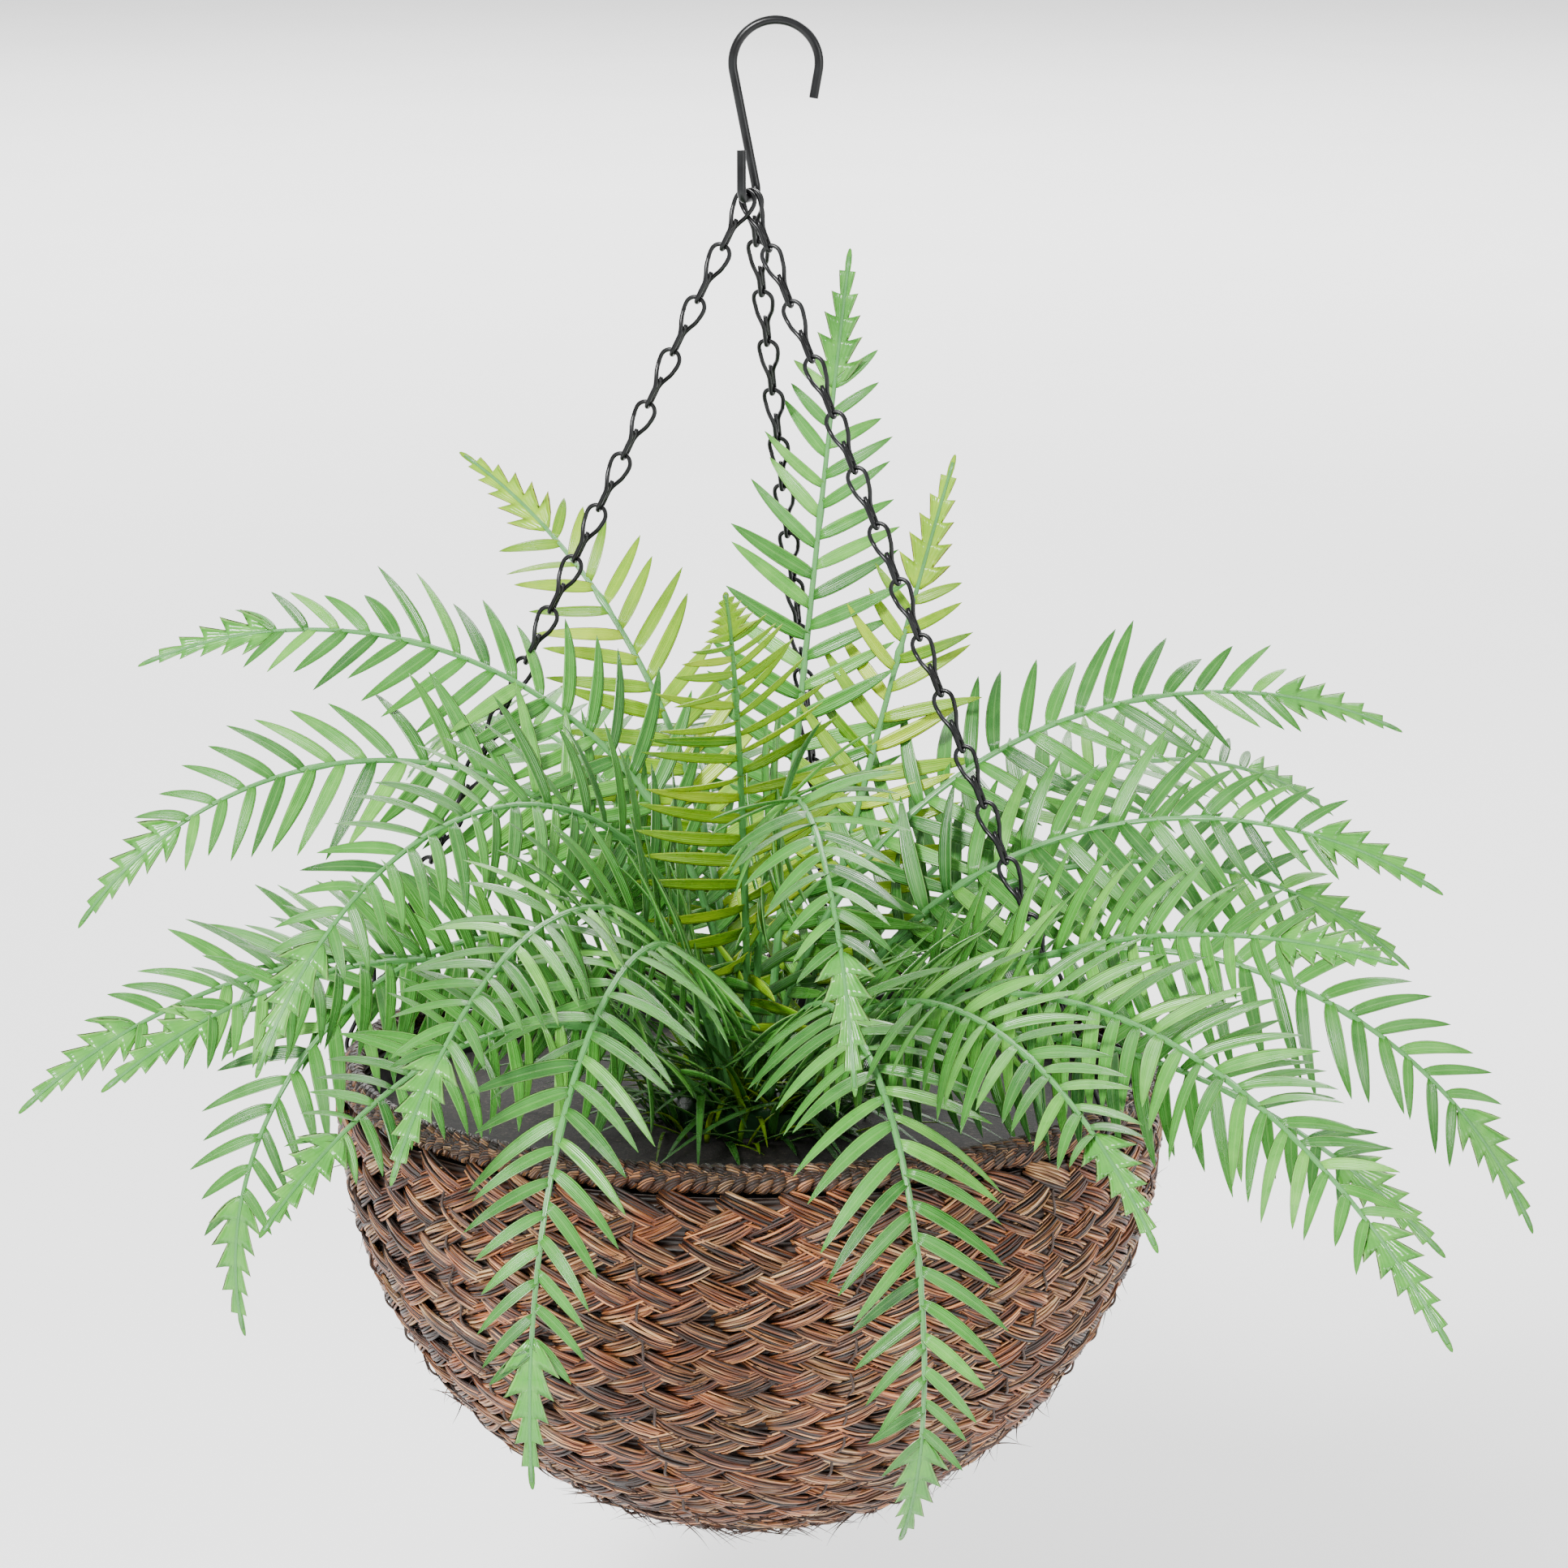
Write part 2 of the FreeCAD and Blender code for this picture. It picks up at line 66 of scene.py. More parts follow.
# ---- the bowl's curves, as the solids have them ------------------------------------------
row_lo, row_hi = (np.array(c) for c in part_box("plait_row_01"))
rope_lo, rope_hi = (np.array(c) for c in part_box("rim_rope"))
coil_lo = np.array(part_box("base_coil")[0])
foam_hi = np.array(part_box("foam_base")[1])
crown_hi = np.array(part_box("fern_crown")[1])
AXIS = np.array([(rope_lo[0] + rope_hi[0]) / 2, (rope_lo[1] + rope_hi[1]) / 2, 0.0])
PLAIT_T = 9 * MM
PLAIT_PITCH = 15 * MM
TOP_ROW_DROP = 9.4 * MM    # the wall's ellipse starts this far below the rim
ROPE_DROP = 3 * MM         # and the rope's middle is this far below it
ROPE_R = (rope_hi[2] - rope_lo[2]) / 2
ROPE_CENTRE_R = (rope_hi[0] - rope_lo[0]) / 2 - ROPE_R
RIM_Z = (rope_lo[2] + rope_hi[2]) / 2 + ROPE_DROP
WALL_A = (row_hi[0] - row_lo[0]) / 2 - PLAIT_T / 2
WALL_Z = RIM_Z - TOP_ROW_DROP
WALL_B = WALL_Z - coil_lo[2] - PLAIT_T / 2

# ---- colour and shader helpers -----------------------------------------------------------


def linear(hex_colour):
    """sRGB hex such as 5f9e57 as linear red, green, blue and an alpha of 1."""
    part = np.array([int(hex_colour[i:i + 2], 16) / 255 for i in (0, 2, 4)])
    curve = np.where(part <= 0.04045, part / 12.92, ((part + 0.055) / 1.055) ** 2.4)
    return (*curve.tolist(), 1.0)


def feed(tree, made, values):
    """Gives inputs, by name or number, the socket that feeds them or a plain value."""
    for key, value in values.items():
        if isinstance(value, bpy.types.NodeSocket):
            tree.links.new(value, made.inputs[key])
        else:
            made.inputs[key].default_value = value


def node(tree, kind, values=None, stops=(), **settings):
    """Adds a node with its settings, its inputs as feed has them, and for a colour ramp its
    (place, hex colour) stops."""
    made = tree.nodes.new(kind)
    for key, value in settings.items():
        setattr(made, key, value)
    feed(tree, made, values or {})
    while stops and len(made.color_ramp.elements) < len(stops):
        made.color_ramp.elements.new(0.5)
    for number, (place, colour) in enumerate(stops):
        element = made.color_ramp.elements[number]
        element.position, element.color = place, linear(colour)
    return made


def new_material(name):
    """Empty principled material: its tree and its shader."""
    material = bpy.data.materials.new(name)
    material.use_nodes = True
    tree = material.node_tree
    return material, tree, tree.nodes["Principled BSDF"]


# ---- materials: noise sizes are about a blob's width, bump distances are metres of relief --


def rush(name, straws, warm, grey, straw=1.05 * MM, relief=0.45 * MM):
    """Split rush, stained and plaited dry: round straws side by side, each of its own tone,
    streaked along its length, with a dull wax sheen, and painted shade darkening the gaps between."""
    material, tree, shader = new_material(name)
    grain = node(tree, "ShaderNodeUVMap", uv_map="grain").outputs["UV"]
    split = node(tree, "ShaderNodeSeparateXYZ", {"Vector": grain})
    across = node(tree, "ShaderNodeMath", {0: split.outputs["X"], 1: straw}, operation="DIVIDE")
    cell = node(tree, "ShaderNodeMath", {0: across.outputs[0]}, operation="FLOOR")
    inside = node(tree, "ShaderNodeMath", {0: across.outputs[0]}, operation="FRACT")
    # a straw's round top: 0 in the gap, 1 along its middle
    turned = node(tree, "ShaderNodeMath", {0: inside.outputs[0], 1: math.pi},
                  operation="MULTIPLY")
    top = node(tree, "ShaderNodeMath", {0: turned.outputs[0]}, operation="SINE").outputs[0]
    own = node(tree, "ShaderNodeTexWhiteNoise", {"W": cell.outputs[0]}, noise_dimensions="1D")
    along = node(tree, "ShaderNodeMapping",
                 {"Vector": grain, "Scale": (1 / (0.4 * straw), 1 / (14 * MM), 1)})
    streak = node(tree, "ShaderNodeTexNoise",
                  {"Vector": along.outputs[0], "Scale": 1.0, "Detail": 3.0}).outputs["Fac"]
    shift = node(tree, "ShaderNodeMapRange",
                 {"Value": own.outputs["Value"], "To Min": -0.16, "To Max": 0.16})
    tone = node(tree, "ShaderNodeMath", {0: streak, 1: shift.outputs[0]}, operation="ADD")
    colour = node(tree, "ShaderNodeValToRGB", {"Fac": tone.outputs[0]}, straws)
    place = node(tree, "ShaderNodeTexCoord").outputs["Object"]
    patch = node(tree, "ShaderNodeTexNoise",
                 {"Vector": place, "Scale": 1 / (14 * MM), "Detail": 2.0})
    warmth = node(tree, "ShaderNodeValToRGB", {"Fac": patch.outputs["Fac"]},
                  [(0.38, warm), (0.62, grey)])
    colour = node(tree, "ShaderNodeMix",
                  {0: 0.8, 6: colour.outputs["Color"], 7: warmth.outputs["Color"]},
                  data_type="RGBA", blend_type="MULTIPLY")
    # painted shade: each straw darkens towards its edges, to near black in the grooves between
    # straws
    groove_shade = node(tree, "ShaderNodeMapRange", {"Value": top, "From Min": 0.1, "From Max": 0.75})
    colour = node(tree, "ShaderNodeMix",
                  {0: groove_shade.outputs[0], 6: linear("150c08"), 7: colour.outputs[2]},
                  data_type="RGBA", blend_type="MIX")
    shine = node(tree, "ShaderNodeMapRange", {"Value": streak, "To Min": 0.62, "To Max": 0.34})
    bump = node(tree, "ShaderNodeBump", {"Height": top, "Distance": relief, "Strength": 1.0})
    feed(tree, shader, {"Base Color": colour.outputs[2], "Roughness": shine.outputs[0],
                        "IOR": 1.5, "Normal": bump.outputs["Normal"]})
    return material


def painted_steel():
    """Drawn steel rod dipped in black enamel: near black, glossy, with a slight orange peel
    and dust that dulls it in patches."""
    material, tree, shader = new_material("black_dipped_enamel_on_steel")
    place = node(tree, "ShaderNodeTexCoord").outputs["Object"]
    peel = node(tree, "ShaderNodeTexNoise",
                {"Vector": place, "Scale": 1 / (1.2 * MM), "Detail": 2.0})
    dust = node(tree, "ShaderNodeTexNoise",
                {"Vector": place, "Scale": 1 / (9 * MM), "Detail": 3.0}).outputs["Fac"]
    colour = node(tree, "ShaderNodeValToRGB", {"Fac": dust},
                  [(0.35, "050506"), (0.75, "141617")])
    shine = node(tree, "ShaderNodeMapRange", {"Value": dust, "To Min": 0.2, "To Max": 0.42})
    bump = node(tree, "ShaderNodeBump",
                {"Height": peel.outputs["Fac"], "Distance": 0.03 * MM, "Strength": 1.0})
    feed(tree, shader, {"Base Color": colour.outputs["Color"], "Roughness": shine.outputs[0],
                        "IOR": 1.5, "Specular IOR Level": 0.3,
                        "Normal": bump.outputs["Normal"]})
    return material


def moulded_leaf(name, dark, mid, light, edge):
    """Injection moulded polyethylene leaf: satin, brighter along its thin margins and midrib,
    with fine parallel veins and a slightly different green from leaflet to leaflet."""
    material, tree, shader = new_material(name)
    uv = node(tree, "ShaderNodeUVMap", uv_map="grain").outputs["UV"]
    split = node(tree, "ShaderNodeSeparateXYZ", {"Vector": uv})
    across = node(tree, "ShaderNodeMath", {0: split.outputs["X"]},
                  operation="ABSOLUTE").outputs[0]
    tint = node(tree, "ShaderNodeAttribute", attribute_name="tint").outputs["Fac"]
    place = node(tree, "ShaderNodeTexCoord").outputs["Object"]
    mottle = node(tree, "ShaderNodeTexNoise",
                  {"Vector": place, "Scale": 1 / (7 * MM), "Detail": 2.0}).outputs["Fac"]
    mixed = node(tree, "ShaderNodeMath", {0: mottle, 1: 0.35, 2: tint},
                 operation="MULTIPLY_ADD")
    colour = node(tree, "ShaderNodeValToRGB", {"Fac": mixed.outputs[0]},
                  [(0.1, dark), (0.6, mid), (1.05, light)])
    margin = node(tree, "ShaderNodeMapRange",
                  {"Value": across, "From Min": 0.84, "From Max": 1.0})
    midrib = node(tree, "ShaderNodeMapRange",
                  {"Value": across, "From Min": 0.16, "From Max": 0.0})
    faint = node(tree, "ShaderNodeMath", {0: midrib.outputs[0], 1: 0.14}, operation="MULTIPLY")
    lift = node(tree, "ShaderNodeMath", {0: margin.outputs[0], 1: faint.outputs[0]},
                operation="MAXIMUM")
    colour = node(tree, "ShaderNodeMix",
                  {0: lift.outputs[0], 6: colour.outputs["Color"], 7: linear(edge)},
                  data_type="RGBA", blend_type="MIX")
    # veins about 0.7 mm apart across a leaflet's blade
    phase = node(tree, "ShaderNodeMath", {0: across, 1: 26.0}, operation="MULTIPLY")
    veins = node(tree, "ShaderNodeMath", {0: phase.outputs[0]}, operation="SINE")
    bump = node(tree, "ShaderNodeBump",
                {"Height": veins.outputs[0], "Distance": 0.05 * MM, "Strength": 1.0})
    shine = node(tree, "ShaderNodeMapRange", {"Value": mottle, "To Min": 0.16, "To Max": 0.42})
    feed(tree, shader, {"Base Color": colour.outputs[2], "Roughness": shine.outputs[0],
                        "IOR": 1.51, "Subsurface Weight": 0.08,
                        "Subsurface Radius": (0.6 * MM, 1.2 * MM, 0.3 * MM),
                        "Subsurface Scale": 1.0, "Normal": bump.outputs["Normal"]})
    return material


def speckled_foam():
    """Expanded foam coloured like wet peat: almost black, with pale crumbs and open pores."""
    material, tree, shader = new_material("peat_coloured_expanded_foam")
    place = node(tree, "ShaderNodeTexCoord").outputs["Object"]
    grain = node(tree, "ShaderNodeTexNoise", {"Vector": place, "Scale": 1 / (1.6 * MM),
                                              "Detail": 5.0, "Roughness": 0.7}).outputs["Fac"]
    patch = node(tree, "ShaderNodeTexNoise",
                 {"Vector": place, "Scale": 1 / (30 * MM), "Detail": 2.0})
    colour = node(tree, "ShaderNodeValToRGB", {"Fac": grain},
                  [(0.42, "15110f"), (0.58, "2b2420"), (0.72, "6e6254")])
    shade = node(tree, "ShaderNodeValToRGB", {"Fac": patch.outputs["Fac"]},
                 [(0.3, "8f8f8f"), (0.7, "ffffff")])
    colour = node(tree, "ShaderNodeMix",
                  {0: 1.0, 6: colour.outputs["Color"], 7: shade.outputs["Color"]},
                  data_type="RGBA", blend_type="MULTIPLY")
    bump = node(tree, "ShaderNodeBump", {"Height": grain, "Distance": 0.8 * MM, "Strength": 1.0})
    feed(tree, shader, {"Base Color": colour.outputs[2], "Roughness": 0.85,
                        "Normal": bump.outputs["Normal"]})
    return material


def film():
    """Blown polyethylene film: black, soft sheen, creased where it is tucked in."""
    material, tree, shader = new_material("black_blown_film")
    place = node(tree, "ShaderNodeTexCoord").outputs["Object"]
    crease = node(tree, "ShaderNodeTexNoise",
                  {"Vector": place, "Scale": 1 / (14 * MM), "Detail": 3.0,
                   "Distortion": 1.2}).outputs["Fac"]
    colour = node(tree, "ShaderNodeValToRGB", {"Fac": crease}, [(0.3, "0b0b0c"), (0.7, "1d1d1f")])
    bump = node(tree, "ShaderNodeBump", {"Height": crease, "Distance": 1.5 * MM, "Strength": 1.0})
    feed(tree, shader, {"Base Color": colour.outputs["Color"], "Roughness": 0.38,
                        "Normal": bump.outputs["Normal"]})
    return material


def waxed_thread():
    """Twisted sewing thread, waxed dark: fine ply marks and a dull shine."""
    material, tree, shader = new_material("waxed_twisted_thread")
    place = node(tree, "ShaderNodeTexCoord").outputs["Object"]
    ply = node(tree, "ShaderNodeTexNoise",
               {"Vector": place, "Scale": 1 / (0.5 * MM), "Detail": 2.0}).outputs["Fac"]
    colour = node(tree, "ShaderNodeValToRGB", {"Fac": ply}, [(0.35, "1c120e"), (0.7, "4a3428")])
    bump = node(tree, "ShaderNodeBump", {"Height": ply, "Distance": 0.15 * MM, "Strength": 1.0})
    feed(tree, shader, {"Base Color": colour.outputs["Color"], "Roughness": 0.6,
                        "Normal": bump.outputs["Normal"]})
    return material


def painted_floor():
    """Matt white studio board with the faintest mottle."""
    material, tree, shader = new_material("matt_white_board")
    place = node(tree, "ShaderNodeTexCoord").outputs["Object"]
    mottle = node(tree, "ShaderNodeTexNoise", {"Vector": place, "Scale": 1 / 0.4, "Detail": 2.0})
    colour = node(tree, "ShaderNodeValToRGB", {"Fac": mottle.outputs["Fac"]},
                  [(0.0, "f4f4f4"), (1.0, "fbfbfb")])
    feed(tree, shader, {"Base Color": colour.outputs["Color"], "Roughness": 0.9})
    return material


STEEL = painted_steel()
PLAIT = rush("stained_split_rush",
             [(0.30, "120804"), (0.42, "38200f"), (0.51, "663e22"), (0.61, "9a6d42"),
              (0.73, "e8c698")],
             "f0b080", "d4ccc0")
ROPE = rush("whipped_rush_cord",
            [(0.28, "0e0704"), (0.42, "2c1a10"), (0.54, "54371f"), (0.64, "82603d"),
             (0.76, "c4a078")],
            "e8b088", "d4ccc0", straw=0.8 * MM, relief=0.3 * MM)
FIBRE = rush("loose_rush_fibre", [(0.3, "2a1a12"), (0.5, "6b4632"), (0.7, "b08a6c")],
             "e0a880", "c8b8a8")
# near-black rush for the hidden core of each row: painted shade seen through the holes between the
# bundles
PAINTED_SHADE_RUSH = rush("painted_shade_rush_core", [(0.3, "0c0604"), (0.5, "22140c"), (0.7, "3c281a")],
                 "f0b080", "d4ccc0")
GREEN = moulded_leaf("moulded_green_leaf", "1c5418", "428a2c", "76bc44", "a4d878")
YELLOW = moulded_leaf("moulded_yellow_green_leaf", "3f7a04", "78a606", "b0c80e", "cfe040")
STEM = moulded_leaf("moulded_green_stem", "2b6230", "50904a", "7cae6c", "74a664")
CROWN = moulded_leaf("moulded_dark_green_crown", "0c2410", "173a1a", "24502a", "24502a")
FOAM = speckled_foam()
FILM = film()
THREAD = waxed_thread()

# ---- mesh helpers ------------------------------------------------------------------------


def unit(v):
    """Vectors scaled to length 1."""
    return v / np.maximum(np.linalg.norm(v, axis=-1, keepdims=True), 1e-12)


def tubes(rings, across, along):
    """Many open tubes at once. rings is (tubes, stations, points, 3): neighbouring stations
    are joined by quads round the section and each end is capped. across and along are the
    grain coordinates of every point."""
    count, stations, points = rings.shape[:3]
    index = np.arange(count * stations * points).reshape(count, stations, points)
    a, b = index[:, :-1], index[:, 1:]
    quads = np.stack([a, np.roll(a, -1, 2), np.roll(b, -1, 2), b], -1).reshape(-1, 4)
    caps = np.concatenate([index[:, 0, ::-1], index[:, -1]])
    grain = np.stack([np.broadcast_to(across, index.shape), np.broadcast_to(along, index.shape)],
                     -1).reshape(-1, 2)
    return (rings.reshape(-1, 3), quads, caps,
            grain[quads].reshape(-1, 2), grain[caps].reshape(-1, 2))


def tubes_round(rings, across, along):
    """Closed rings of tube, with the grain running on across both joins."""
    count, stations, points = rings.shape[:3]
    index = np.arange(count * stations * points).reshape(count, stations, points)
    b = np.roll(index, -1, 1)
    quads = np.stack([index, np.roll(index, -1, 2), np.roll(b, -1, 2), b], -1)
    step_u = across[:, :, 1:2] - across[:, :, 0:1]
    step_v = along[:, 1:2] - along[:, 0:1]
    u0, u1 = across, across + step_u
    v0, v1 = along, along + step_v
    uv = np.stack([np.stack([u0, v0], -1), np.stack([u1, v0], -1),
                   np.stack([u1, v1], -1), np.stack([u0, v1], -1)], -2)
    return (rings.reshape(-1, 3), quads.reshape(-1, 4), np.zeros((0, points), int),
            uv.reshape(-1, 2), np.zeros((0, 2)))


def add_piece(name, parts, materials, body="basket", replaces=(), tints=None,
              order=None):
    """One mesh object from several tube sets, each with its own material number, or with the
    numbers in order. It rides a body, stands for the named solids and takes its finish from
    a material slot."""
    verts, loops, starts, uvs, picks, base, at = [], [], [], [], [], 0, 0
    for number, (points, quads, caps, quad_uv, cap_uv) in enumerate(parts):
        verts.append(points)
        for faces, uv in ((quads, quad_uv), (caps, cap_uv)):
            loops.append((faces + base).ravel())
            starts.append(at + np.arange(len(faces)) * faces.shape[1])
            pick = order[number] if order else min(number, len(materials) - 1)
            picks.append(np.full(len(faces), pick))
            uvs.append(uv)
            at += faces.size
        base += len(points)
    verts, loops = np.concatenate(verts), np.concatenate(loops)
    starts, picks, uvs = np.concatenate(starts), np.concatenate(picks), np.concatenate(uvs)
    mesh = bpy.data.meshes.new(name)
    mesh.vertices.add(len(verts))
    mesh.vertices.foreach_set("co", verts.ravel().astype(np.float32))
    mesh.loops.add(len(loops))
    mesh.loops.foreach_set("vertex_index", loops.astype(np.int32))
    mesh.polygons.add(len(starts))
    mesh.polygons.foreach_set("loop_start", starts.astype(np.int32))
    mesh.polygons.foreach_set("material_index", picks.astype(np.int32))
    mesh.polygons.foreach_set("use_smooth", np.ones(len(starts), bool))
    mesh.uv_layers.new(name="grain").data.foreach_set("uv", uvs.ravel().astype(np.float32))
    if tints is not None:
        layer = mesh.attributes.new("tint", "FLOAT", "POINT")
        layer.data.foreach_set("value", np.concatenate(tints).astype(np.float32))
    mesh.update(calc_edges=True)
    for material in materials:
        mesh.materials.append(material)
    piece = bpy.data.objects.new(name, mesh)
    bpy.context.scene.collection.objects.link(piece)
    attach(piece, body)
    if replaces:
        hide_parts(*replaces)
    return piece


def dress(node_name, material):
    """Gives a solid that is shown as it is its material."""
    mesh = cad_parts[node_name].data
    mesh.materials.clear()
    mesh.materials.append(material)


def around(az, radius=1.0, z=0.0):
    """Points about the bowl's axis at direction az in radians."""
    az, radius, z = np.broadcast_arrays(az, radius, z)
    return np.stack([radius * np.cos(az), radius * np.sin(az), z], -1) + AXIS


# ---- bowl wall: one closed ring of plait to a row -----------------------------------------


def wall_stations():
    """Radius, height and inward normal of the wall's middle line at every row."""
    t = np.linspace(0, math.pi / 2, 8001)
    r, z = WALL_A * np.cos(t), -WALL_B * np.sin(t)
    gone = np.concatenate([[0], np.cumsum(np.hypot(np.diff(r), np.diff(z)))])
    want = np.arange(PLAIT_PITCH / 2, gone[-1], PLAIT_PITCH)
    at = np.interp(want, gone, t)
    normal = unit(np.stack([-np.cos(at) / WALL_A, np.sin(at) / WALL_B], -1))
    return WALL_A * np.cos(at), WALL_Z - WALL_B * np.sin(at), normal


def plait(path, out, turns, swing, deep, tuck, wide, thick, seed, points=12, per_turn=20):
    """Three flattened strands about a closed path. At phase p a strand lies at swing*tri(p)
    across the path and deep*sin(2p) + tuck*sin(p)**4 under its face, with tri(p) a triangle
    wave. Each is a third of a turn behind the last, so that every strand goes straight over
    as it comes in from an edge, under as it leaves, and turns back tucked in at the edges."""
    draw = np.random.default_rng(seed)
    stations = per_turn * turns
    az = np.arange(stations) / stations * TAU
    centre, face = path(az), out(az)
    ahead = unit(np.roll(centre, -1, 0) - np.roll(centre, 1, 0))
    down = unit(np.cross(ahead, face))
    length = np.linalg.norm(np.roll(centre, -1, 0) - centre, axis=1).sum()
    turn = np.arange(points) / points * TAU
    sets = []
    for strand in range(3):
        waves = sum(draw.normal(0, 1) * np.sin(k * az + draw.uniform(0, TAU)) / 2.2
                    for k in draw.integers(turns // 2 + 1, 3 * turns, 6))
        phase = turns * az + strand * TAU / 3 + 0.17 * waves + seed * 1.7
        tri = 0.9 * (np.sin(phase) - np.sin(3 * phase) / 9)
        side = swing * tri + 0.06 * swing * waves
        dip = deep * np.sin(2 * phase) + tuck * np.sin(phase) ** 4 + 0.1 * deep * waves
        line = centre + down * side[:, None] - face * dip[:, None]
        go = unit(np.roll(line, -1, 0) - np.roll(line, 1, 0))
        flat = unit(down - go * np.sum(down * go, -1, keepdims=True))
        up = np.cross(flat, go)
        up *= np.sign(np.sum(up * face, -1, keepdims=True))
        lean = 0.16 * np.cos(phase)[:, None] * np.sign(swing)
        flat, up = unit(flat + up * lean), unit(up - flat * lean)
        swell = 1 + 0.09 * waves[:, None] + 0.04 * np.cos(7 * turn + 3 * np.sin(az[:, None] * 5))
        across = np.sign(np.cos(turn)) * np.abs(np.cos(turn)) ** 0.85 * wide * swell
        height = np.sign(np.sin(turn)) * np.abs(np.sin(turn)) ** 0.55 * thick * swell
        rings = line[:, None] + flat[:, None] * across[..., None] + up[:, None] * height[..., None]
        girth = turn / TAU * 4.9 * wide + strand * 40 * MM + seed * 90 * MM
        sets.append((rings, np.broadcast_to(girth, across.shape),
                     np.broadcast_to((az / TAU * length)[:, None] + seed * 0.31, across.shape)))
    return tubes_round(*(np.stack(x) for x in zip(*sets)))


BUNDLE_PITCH = 19 * MM      # from one bundle to the next on the same edge of a row
BUNDLE_RUN = 23 * MM        # its length along the row
BUNDLE_FROM, BUNDLE_TO = 7.7 * MM, -3.2 * MM   # from the row's edge to past its middle
BUNDLE_RISE, BUNDLE_TUCK = 3.3, 0.9            # mm that it stands up, and starts below
STRAWS, STRAW_GAP, STRAW_R = 10, 1.0 * MM, 0.66 * MM
STRAW_KEY = 1.05 * MM       # grain width that the straw finish gives one straw
STRAW_POINTS = 6            # round a straw's section
ROW_STATIONS, BASE_STATIONS = 7, 5             # along a straw, in the wall and in the base
CORE_WIDE, CORE_THICK, CORE_IN = 7.6 * MM, 1.6 * MM, 1.0 * MM   # section, and set inwards
SMALLEST_ROW = 5 * MM       # radius below which no row is laid


def plait_row(radius, z, normal, seed, stations):
    """One row of the wall as its bundles of straws, laid from either edge in turn. Along a
    bundle, q = 0 to 1, it runs ahead by BUNDLE_RUN and across from BUNDLE_FROM to BUNDLE_TO,
    and its height off the row's middle is BUNDLE_RISE*sin(pi*q)**0.6 - BUNDLE_TUCK in mm: both
    ends are tucked in under the bundles beside them. A plain core fills the row behind them."""
    draw = np.random.default_rng(seed)
    count = max(4, round(TAU * radius / BUNDLE_PITCH))
    k = np.arange(2 * count)
    side = np.where(k % 2 == 0, 1.0, -1.0)[:, None, None]
    mid = (k / 2 + seed * 0.37 + draw.normal(0, 0.08, 2 * count)) * TAU / count
    q = np.linspace(0, 1, stations)
    run = BUNDLE_RUN * draw.normal(1, 0.05, (2 * count, STRAWS, 1))
    slope = (math.atan2(BUNDLE_FROM - BUNDLE_TO, BUNDLE_RUN)
             + draw.normal(0, 0.07, (2 * count, 1, 1)))
    j = np.arange(STRAWS)[:, None] - (STRAWS - 1) / 2
    fan = 0.78 + 0.3 * np.sin(math.pi * q)
    stray = draw.normal(0, 0.16, (2 * count, STRAWS, 1)) * MM
    wobble = draw.normal(0, 0.22, (2 * count, STRAWS, 1)) * MM * np.sin(math.pi * q * 1.5)
    off = j * STRAW_GAP * fan + stray + wobble
    ahead_by = (q - 0.5) * run + off * np.sin(slope) * side
    x = side * (BUNDLE_FROM + (BUNDLE_TO - BUNDLE_FROM) * q) + off * np.cos(slope)
    edge = j / ((STRAWS - 1) / 2)
    lift = (BUNDLE_RISE * np.sin(math.pi * np.clip(q, 0.02, 0.98)) ** 0.6 - BUNDLE_TUCK
            - 0.7 * edge ** 2 + 0.45 * edge * side) * MM
    lift = lift + (draw.normal(0, 0.2, (2 * count, STRAWS, 1))
                   + draw.normal(0, 0.3, (2 * count, 1, 1))) * MM
    az = mid[:, None, None] + ahead_by / max(radius, 12 * MM)
    out = np.stack([-normal[0] * np.cos(az), -normal[0] * np.sin(az),
                    np.full(az.shape, -normal[1])], -1)
    ahead = np.stack([-np.sin(az), np.cos(az), 0 * az], -1)
    down = np.cross(out, ahead)
    line = around(az, radius, z) + down * x[..., None] + out * lift[..., None]
    line, out = line.reshape(-1, len(q), 3), out.reshape(-1, len(q), 3)
    go = unit(np.gradient(line, axis=1))
    flat = unit(np.cross(out, go))
    up = np.cross(go, flat)
    turn = np.arange(STRAW_POINTS) / STRAW_POINTS * TAU
    thin = (STRAW_R * draw.uniform(0.8, 1.15, len(line)))[:, None, None] * np.ones(len(q))[:, None]
    rings = (line[:, :, None] + flat[:, :, None] * (np.cos(turn) * thin)[..., None]
             + up[:, :, None] * (np.sin(turn) * thin * 0.8)[..., None])
    ident = (np.arange(len(line)) + seed * 7000)[:, None, None]
    grain_u = (ident + 0.5 + 0.42 * np.cos(turn)) * STRAW_KEY
    grain_v = (q * BUNDLE_RUN)[:, None] + draw.uniform(0, 0.2, (len(line), 1, 1))
    straws = tubes(rings, grain_u, grain_v)
    turns = np.arange(14) / 14 * TAU
    azc = np.arange(96) / 96 * TAU
    radial = np.stack([np.cos(azc), np.sin(azc), 0 * azc], -1)
    inside = radial * normal[0] + np.array([0, 0, normal[1]])
    below = radial * normal[1] - np.array([0, 0, normal[0]])
    core = (around(azc, radius, z)[:, None] + below[:, None] * (CORE_WIDE * np.cos(turns))[:, None]
            + inside[:, None] * (CORE_THICK * np.sin(turns) + CORE_IN)[:, None])[None]
    core = tubes_round(core, np.broadcast_to(turns * 3 * MM, core.shape[:3]),
                       np.broadcast_to((azc * radius)[:, None], core.shape[:3]))
    return straws, core


